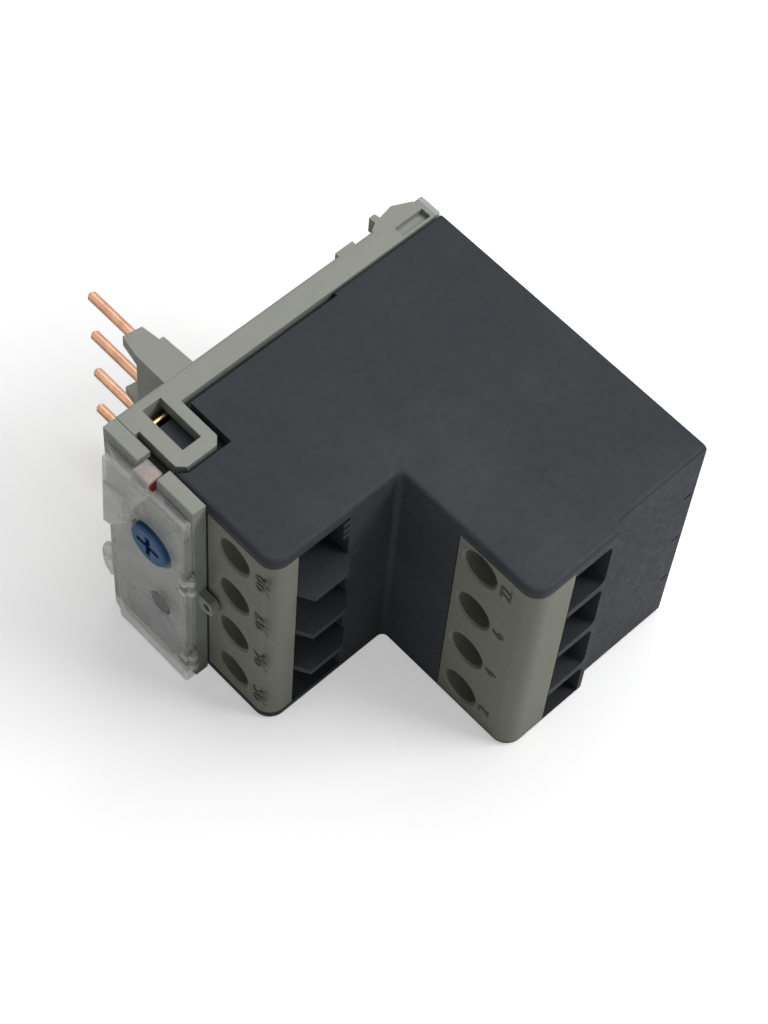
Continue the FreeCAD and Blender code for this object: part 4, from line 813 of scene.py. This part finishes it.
@dataclass
class TerminalBlock:
    """Grey block with screw wells and plain terminal numbers, the block's grey darkened as
    painted shade and the numbers darker still as painted shade.

    Attributes:
        node: CAD node of the block.
        numbers: Its numbers, from the top down.
        pitch: Spacing of the terminals in millimetres.
        x: Middle of the numbers.
        y: The face they stand on.
        height: Digit height.
        middle: Z of the middle of the row.
        soft: Width of the block's soft edges in metres.
    """

    node: str
    numbers: tuple[str, ...]
    pitch: float
    x: float
    y: float
    height: float = 2.8
    middle: float = 22.5
    soft: float = 0.00014

    def build(self) -> None:
        """Dresses the block and sets its numbers."""
        # The block's finish is its grey darkened as painted shade.
        Mould.dress(self.node, "housing", Finish.BLOCK, "grey_plastic", self.soft)
        half = (len(self.numbers) - 1) / 2
        for index, text in enumerate(self.numbers):
            number = Numeral(text, self.x, self.y, self.middle + (half - index) * self.pitch,
                             self.height)
            # The numbers' darker grey is painted shade in their relief.
            number.build("%s_number_%d" % (self.node, index + 1), "housing", Finish.MARK,
                         "grey_plastic")


@dataclass
class FacePlate:
    """Grey front plate under the clear cover, with its printed marks.

    Attributes:
        soft: Width of its soft edges in metres.
        bars: Middle X and Z, width and height of each blue bar.
        print_front: Y of the front of the bars.
        print_back: Y of their back, inside the plate.
        scale: Inner and outer radius of the scale marks.
        mark: Half width and half depth of a scale mark.
        step: Degrees between two marks.
    """

    soft: float = 0.00012
    bars: tuple[tuple[float, float, float, float], ...] = (
        (14.9, 41.9, 4.6, 2.0), (17.1, 36.3, 0.9, 4.4), (11.3, 42.4, 1.2, 0.7))
    print_front: float = -2.43
    print_back: float = -2.35
    scale: tuple[float, float] = (4.05, 4.85)
    mark: tuple[float, float] = (0.11, 0.04)
    step: int = 40

    def build(self) -> None:
        """Dresses the plate and prints its marks."""
        Mould.dress("front_plate", "housing", Finish.GREY, "grey_plastic", self.soft)
        for index, (x, z, wide, tall) in enumerate(self.bars):
            mesh = Mould.brick(at(x - wide / 2, self.print_front, z - tall / 2),
                               at(x + wide / 2, self.print_back, z + tall / 2))
            Mould.piece(mesh, "plate_mark_%d" % index, "housing", Finish.INK, "blue_plastic")
        self.dial_scale()

    def dial_scale(self) -> None:
        """Seven short marks round the dial."""
        wide, deep = self.mark
        inner, outer = self.scale
        for index in range(7):
            angle = math.radians(self.step * (index - 3))
            mesh = Mould.brick(Vector((-wide, -deep, inner)) * MM,
                               Vector((wide, deep, outer)) * MM)
            bmesh.ops.rotate(mesh, verts=mesh.verts, cent=(0, 0, 0),
                             matrix=Matrix.Rotation(angle, 3, "Y"))
            bmesh.ops.translate(mesh, verts=mesh.verts, vec=at(DIAL[0], -2.40, DIAL[1]))
            Mould.piece(mesh, "scale_mark_%d" % index, "housing", Finish.INK, "blue_plastic")


@dataclass
class Controls:
    """Dial and push buttons.

    Attributes:
        dial_level: The dial reaches further forward from this Y.
        dial_more: How much further, in millimetres.
        test_level: The same for the test button.
        test_more: How much further it reaches.
    """

    dial_level: float = -3.3
    dial_more: float = 0.85
    test_level: float = -3.0
    test_more: float = 0.9

    def build(self) -> None:
        """Dresses the dial and the three buttons."""
        dial = Mould.dress("setting_dial", "dial", Finish.BLUE, "blue_plastic", 0.00012)
        self.stretch(dial, self.dial_level, self.dial_more)
        Mould.dress("reset_button", "reset", Finish.BLUE, "blue_plastic", 0.0002)
        Mould.dress("stop_button", "stop", Finish.RED, "red_plastic", 0.0001)
        test = Mould.dress("test_button", "test", Finish.TEST, "test_grey", 0.0005)
        self.stretch(test, self.test_level, self.test_more)

    @staticmethod
    def stretch(item: bpy.types.Object, level: float, more: float) -> None:
        """Lets the part of a piece that lies before a level reach further forward.

        Args:
            item: The piece.
            level: Device Y in millimetres; vertices in front of it move.
            more: How far they move, in millimetres.
        """
        for vertex in item.data.vertices:
            if vertex.co.y < at(0, level, 0).y:
                vertex.co.y -= more * MM


@dataclass
class ClearLid:
    """Frosted hinged cover: a shallow tray with a raised box, windows, tab and lug.

    Attributes:
        low: Lower end of the tray in millimetres.
        high: Upper end of the tray.
        skin: Wall thickness.
        front: Front face of the tray.
        back: Open side of the tray.
        knuckles: Lower ends of the hinge knuckles.
        knuckle_tall: Their height.
        hinge: X and Y of the hinge line.
        test: X and Z of the test button's window.
        seal: X and Z of the sealing hole.
        sharp: Edges that turn more than this many degrees stay crisp.
    """

    low: float = 0.2
    high: float = 43.2
    skin: float = 0.8
    front: float = -4.1
    back: float = -2.48
    knuckles: tuple[float, ...] = (4.6, 26.0)
    knuckle_tall: float = 4.0
    hinge: tuple[float, float] = (18.7, -3.2)
    test: tuple[float, float] = (13.0, 16.8)
    seal: tuple[float, float] = (0.45, 12.75)
    sharp: float = 12.0

    def outside(self) -> tuple[bmesh.types.BMesh, list[bmesh.types.BMesh]]:
        """The solid tray and what is joined to it.

        Returns:
            The tray, and a list with the embossed ring over the reset button.
        """
        tray = Mould.prism([(1.3, self.back), (1.3, -3.15), (2.85, -3.5), (3.75, self.front),
                            (18.2, self.front), (18.2, self.back)], self.low, self.high,
                           Facing.UP)
        ring = Mould.tube(11.2, 9.2, 5.75, 0.35, self.front - 0.10, self.front + 0.2)
        return Mould.eased(tray, 0.00035), [ring]

    def raised(self) -> None:
        """Two-step box, knuckles and lug, which are thick and milky, with a paler colour that
        paints the light coming through them, and the clear tab.
        """
        foot = [(1.4, 25.0), (2.9, 25.4), (7.0, 31.0), (8.6, 37.0), (11.2, 42.6), (2.2, 42.6)]
        crown = [(2.2, 26.4), (3.7, 27.0), (6.6, 31.0), (7.0, 38.3), (2.45, 36.9)]
        lug = [(1.6, 8.55), (1.6, 16.95), (1.2, 16.95), (0.02, 15.69), (-0.4, 13.8),
               (-0.4, 11.7), (0.02, 9.81), (1.2, 8.55)]
        tab = [(self.front, 42.0), (self.front, 44.3), (-3.55, 44.88), (-0.92, 44.88),
               (-0.92, 44.2), (-3.3, 44.2), (-3.3, 42.0)]
        parts = [Mould.eased(Mould.prism(foot, -4.45, -3.35, Facing.FRONT), 0.0004),
                 Mould.eased(Mould.prism(crown, -4.88, -3.9, Facing.FRONT), 0.0004),
                 Mould.eased(Mould.prism(tab, 7.6, 10.8, Facing.WIRES), 0.0003),
                 Mould.eased(Mould.prism(lug, -3.6, -2.7, Facing.FRONT), 0.00025)]
        for level in self.knuckles:
            top = level + self.knuckle_tall
            parts.append(Mould.brick(at(17.3, -4.45, level), at(18.68, self.back, top), 0.00022))
            parts.append(Mould.upright(*self.hinge, 0.69, level, top))
        for index, mesh in enumerate(parts):
            shape = mesh if index < 2 else Carving(self.inside()).cut(mesh)
            finish = Finish.CLEAR if index == 2 else Finish.MILKY
            Mould.piece(shape, "clear_cover_raised_%d" % (index + 1), "cover", finish,
                        "clear_plastic", self.sharp)

    def inside(self) -> list[bmesh.types.BMesh]:
        """The hollows, windows and slots.

        Returns:
            The shapes to cut away.
        """
        cuts = [
            Mould.prism([(2.1, -1.0), (2.1, -2.63), (4.15, -3.3), (17.4, -3.3), (17.4, -1.0)],
                        self.low + self.skin, self.high - self.skin, Facing.UP),
            Mould.brick(at(7.1, -3.3, 42.3), at(11.3, -1.0, 44.1)),
            Mould.brick(at(7.1, -3.35, 42.41), at(7.59, -4.5, 43.5)),
            Mould.brick(at(10.81, -3.35, 42.41), at(11.3, -4.5, 43.5)),
            self.window(DIAL, 4.1, 64), self.window(self.test, 2.05, 48),
            self.window(self.seal, 0.7, 24)]
        for level in self.knuckles:
            cuts.append(Mould.brick(at(17.1, -5.1, level + 1.3), at(20.7, 1.0, level + 2.7)))
            cuts.append(Mould.upright(*self.hinge, 0.41, level - 1.0,
                                      level + self.knuckle_tall + 1.0))
        return cuts

    @staticmethod
    def window(middle: tuple[float, float], radius: float, steps: int) -> bmesh.types.BMesh:
        """A round bar that cuts a window through the front.

        Args:
            middle: Its X and Z in device millimetres.
            radius: Its radius.
            steps: Steps round.

        Returns:
            The bar.
        """
        front, back = -6.0, -2.0
        return Mould.turned([(front, 0.0), (front, radius), (back, radius), (back, 0.0)],
                            *middle, steps)

    def build(self) -> None:
        """Makes the cover and stands it for the CAD one."""
        tray, joined = self.outside()
        mesh = Carving(self.inside(), joined).cut(tray)
        item = Mould.piece(mesh, "clear_cover_frosted", "cover", Finish.CLEAR, "clear_plastic",
                           self.sharp)
        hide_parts("clear_cover")
        self.raised()


@dataclass
class ReturnSprings:
    """Springs behind the push buttons.

    Attributes:
        presses: Button names and their travel in millimetres; the travel is not used.
    """

    presses: tuple[tuple[str, float], ...] = (("reset", 1.2), ("stop", 0.7), ("test", 0.7))

    def build(self) -> None:
        """Dresses each spring and gives it a mesh of its own."""
        for button, travel in self.presses:
            node = button + "_spring"
            item = Mould.piece(Mould.copy_of(node), node + "_wire", "housing", Finish.STEEL,
                               "spring_steel")
            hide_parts(node)
            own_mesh(item)


@dataclass
class Metalwork:
    """Pins, bars, screws, heaters and small inner pieces that keep their CAD shape.

    Attributes:
        finishes: Finish of each material slot of the record.
    """

    finishes: dict[str, Finish] = field(default_factory=lambda: {
        "copper": Finish.COPPER, "brass": Finish.BRASS, "plated_steel": Finish.STEEL,
        "spring_steel": Finish.STEEL, "bimetal": Finish.BIMETAL,
        "sleeve_cloth": Finish.WHITE, "white_plastic": Finish.WHITE})

    def build(self) -> None:
        """Gives every node that is still the CAD's own its finish."""
        slots = {row["node"]: row["material_slot"] for row in frame["record"]["subparts"]}
        for name, item in frame["nodes"].items():
            if item.hide_render:
                continue
            item.data.materials.clear()
            item.data.materials.append(self.finishes[slots[name]].material())


# --- Stage ------------------------------------------------------------------


@dataclass
class Studio:
    """White floor, soft lamps and the camera.

    Attributes:
        azimuth: Degrees that the camera stands round from the front.
        elevation: Degrees above the floor.
        roll: Degrees that it leans.
        lens: Focal length in millimetres.
        place: Where it stands.
        dim: Strength of the surroundings as a light.
        lamps: Name, place, size in metres and power in watts of each lamp.
    """

    azimuth: float = 41.584
    elevation: float = 59.023
    roll: float = 5.994
    lens: float = 89.573
    place: Vector = field(default_factory=lambda: at(146.82, -110.456, 327.78))
    dim: float = 0.09
    lamps: tuple[tuple[str, tuple[float, float, float], float, float], ...] = (
        ("key", (0.50, 0.42, 0.62), 0.40, 4.0), ("over", (-0.10, 0.30, 0.85), 0.6, 3.1),
        ("front", (0.20, -0.80, 0.35), 0.5, 0.50))

    def camera(self) -> None:
        """Stands the camera where the relay is seen from above its front corner."""
        az, el, roll = (math.radians(a) for a in (self.azimuth, self.elevation, self.roll))
        back = Vector((math.sin(az) * math.cos(el), -math.cos(az) * math.cos(el), math.sin(el)))
        right = (-back).cross(Vector((0, 0, 1))).normalized()
        up = right.cross(-back)
        turned_right = math.cos(roll) * right + math.sin(roll) * up
        turned_up = -math.sin(roll) * right + math.cos(roll) * up
        data = bpy.data.cameras.new("camera")
        data.lens = self.lens
        data.sensor_width = 36.0
        data.clip_start = 0.01
        item = bpy.data.objects.new("camera", data)
        bpy.context.scene.collection.objects.link(item)
        item.matrix_world = Matrix.Translation(self.place) @ Matrix(
            (turned_right, turned_up, back)).transposed().to_4x4()
        bpy.context.scene.camera = item

    def lamp(self, name: str, place: Vector, aim: Vector, size: float, power: float) -> None:
        """Adds a soft square lamp.

        Args:
            name: Name of the lamp.
            place: Where it hangs.
            aim: What it looks at.
            size: Edge length in metres.
            power: Power in watts.
        """
        data = bpy.data.lights.new(name, "AREA")
        data.shape = "SQUARE"
        data.size = size
        data.energy = power
        item = bpy.data.objects.new(name, data)
        bpy.context.scene.collection.objects.link(item)
        item.location = place
        item.rotation_euler = (aim - place).to_track_quat("-Z", "Y").to_euler()

    def world(self) -> None:
        """White for the camera and for gloss, dimmer as a light."""
        world = bpy.data.worlds.new("studio")
        world.use_nodes = True
        tree = world.node_tree
        back = tree.nodes["Background"]
        back.inputs["Color"].default_value = (1.0, 1.0, 1.0, 1.0)
        path = tree.nodes.new("ShaderNodeLightPath")
        seen = tree.nodes.new("ShaderNodeMath")
        seen.operation = "MAXIMUM"
        tree.links.new(path.outputs["Is Camera Ray"], seen.inputs[0])
        tree.links.new(path.outputs["Is Transmission Ray"], seen.inputs[1])
        shine = tree.nodes.new("ShaderNodeMath")
        shine.operation = "MAXIMUM"
        tree.links.new(seen.outputs[0], shine.inputs[0])
        tree.links.new(path.outputs["Is Glossy Ray"], shine.inputs[1])
        level = tree.nodes.new("ShaderNodeMapRange")
        level.inputs["To Min"].default_value = self.dim
        level.inputs["To Max"].default_value = 1.0
        tree.links.new(shine.outputs[0], level.inputs["Value"])
        tree.links.new(level.outputs["Result"], back.inputs["Strength"])
        bpy.context.scene.world = world

    def floor(self) -> None:
        """A wide white floor that keeps the relay's shadow; its glow for the camera is weaker
        near the relay, a painted shade round it.
        """
        mesh = bmesh.new()
        bmesh.ops.create_grid(mesh, x_segments=1, y_segments=1, size=3.0)
        bmesh.ops.translate(mesh, verts=mesh.verts, vec=(0, 0, -0.00005))
        data = bpy.data.meshes.new("floor")
        mesh.to_mesh(data)
        mesh.free()
        item = bpy.data.objects.new("floor", data)
        bpy.context.scene.collection.objects.link(item)
        nodes = Nodes("floor_paper")
        nodes.shader.inputs["Base Color"].default_value = (0.88, 0.88, 0.88, 1.0)
        nodes.shader.inputs["Roughness"].default_value = 0.9
        nodes.shader.inputs["Specular IOR Level"].default_value = 0.0
        path = nodes.tree.nodes.new("ShaderNodeLightPath")
        nodes.shader.inputs["Emission Color"].default_value = (1.0, 1.0, 1.0, 1.0)
        reach = nodes.tree.nodes.new("ShaderNodeVectorMath")
        reach.operation = "LENGTH"
        nodes.join(nodes.place, reach.inputs[0])
        # Camera glow falls to 0.42 near the relay: painted shade round it.
        lift = nodes.remap(reach.outputs["Value"], 0.06, 0.5, 0.42, 1.0)
        nodes.join(nodes.times(lift, path.outputs["Is Camera Ray"]),
                   nodes.shader.inputs["Emission Strength"])
        data.materials.append(nodes.material)

    def build(self) -> None:
        """Sets up the whole stage."""
        bpy.context.scene.view_settings.view_transform = "Standard"
        self.camera()
        self.world()
        self.floor()
        aim = Vector((0.0, 0.0, 0.02))
        for name, place, size, power in self.lamps:
            self.lamp(name, Vector(place), aim, size, power)


def main() -> None:
    """Builds the stage and every sub-assembly."""
    logging.basicConfig(level=logging.INFO, format="%(message)s")
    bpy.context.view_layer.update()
    Studio().build()
    for part in (Housing(), ContactorCover(),
                 TerminalBlock("aux_terminal_block", ("98", "97", "96", "95"),
                               pitch=10.54, x=29.45, y=0.0),
                 TerminalBlock("main_terminal_block", ("22", "6", "4", "2"),
                               pitch=11.29, x=51.6, y=22.4, height=2.1),
                 FacePlate(), Controls(), ClearLid(), ReturnSprings(), Metalwork()):
        part.build()
        LOG.info("built %s", type(part).__name__)


if __name__ == "__main__":
    main()
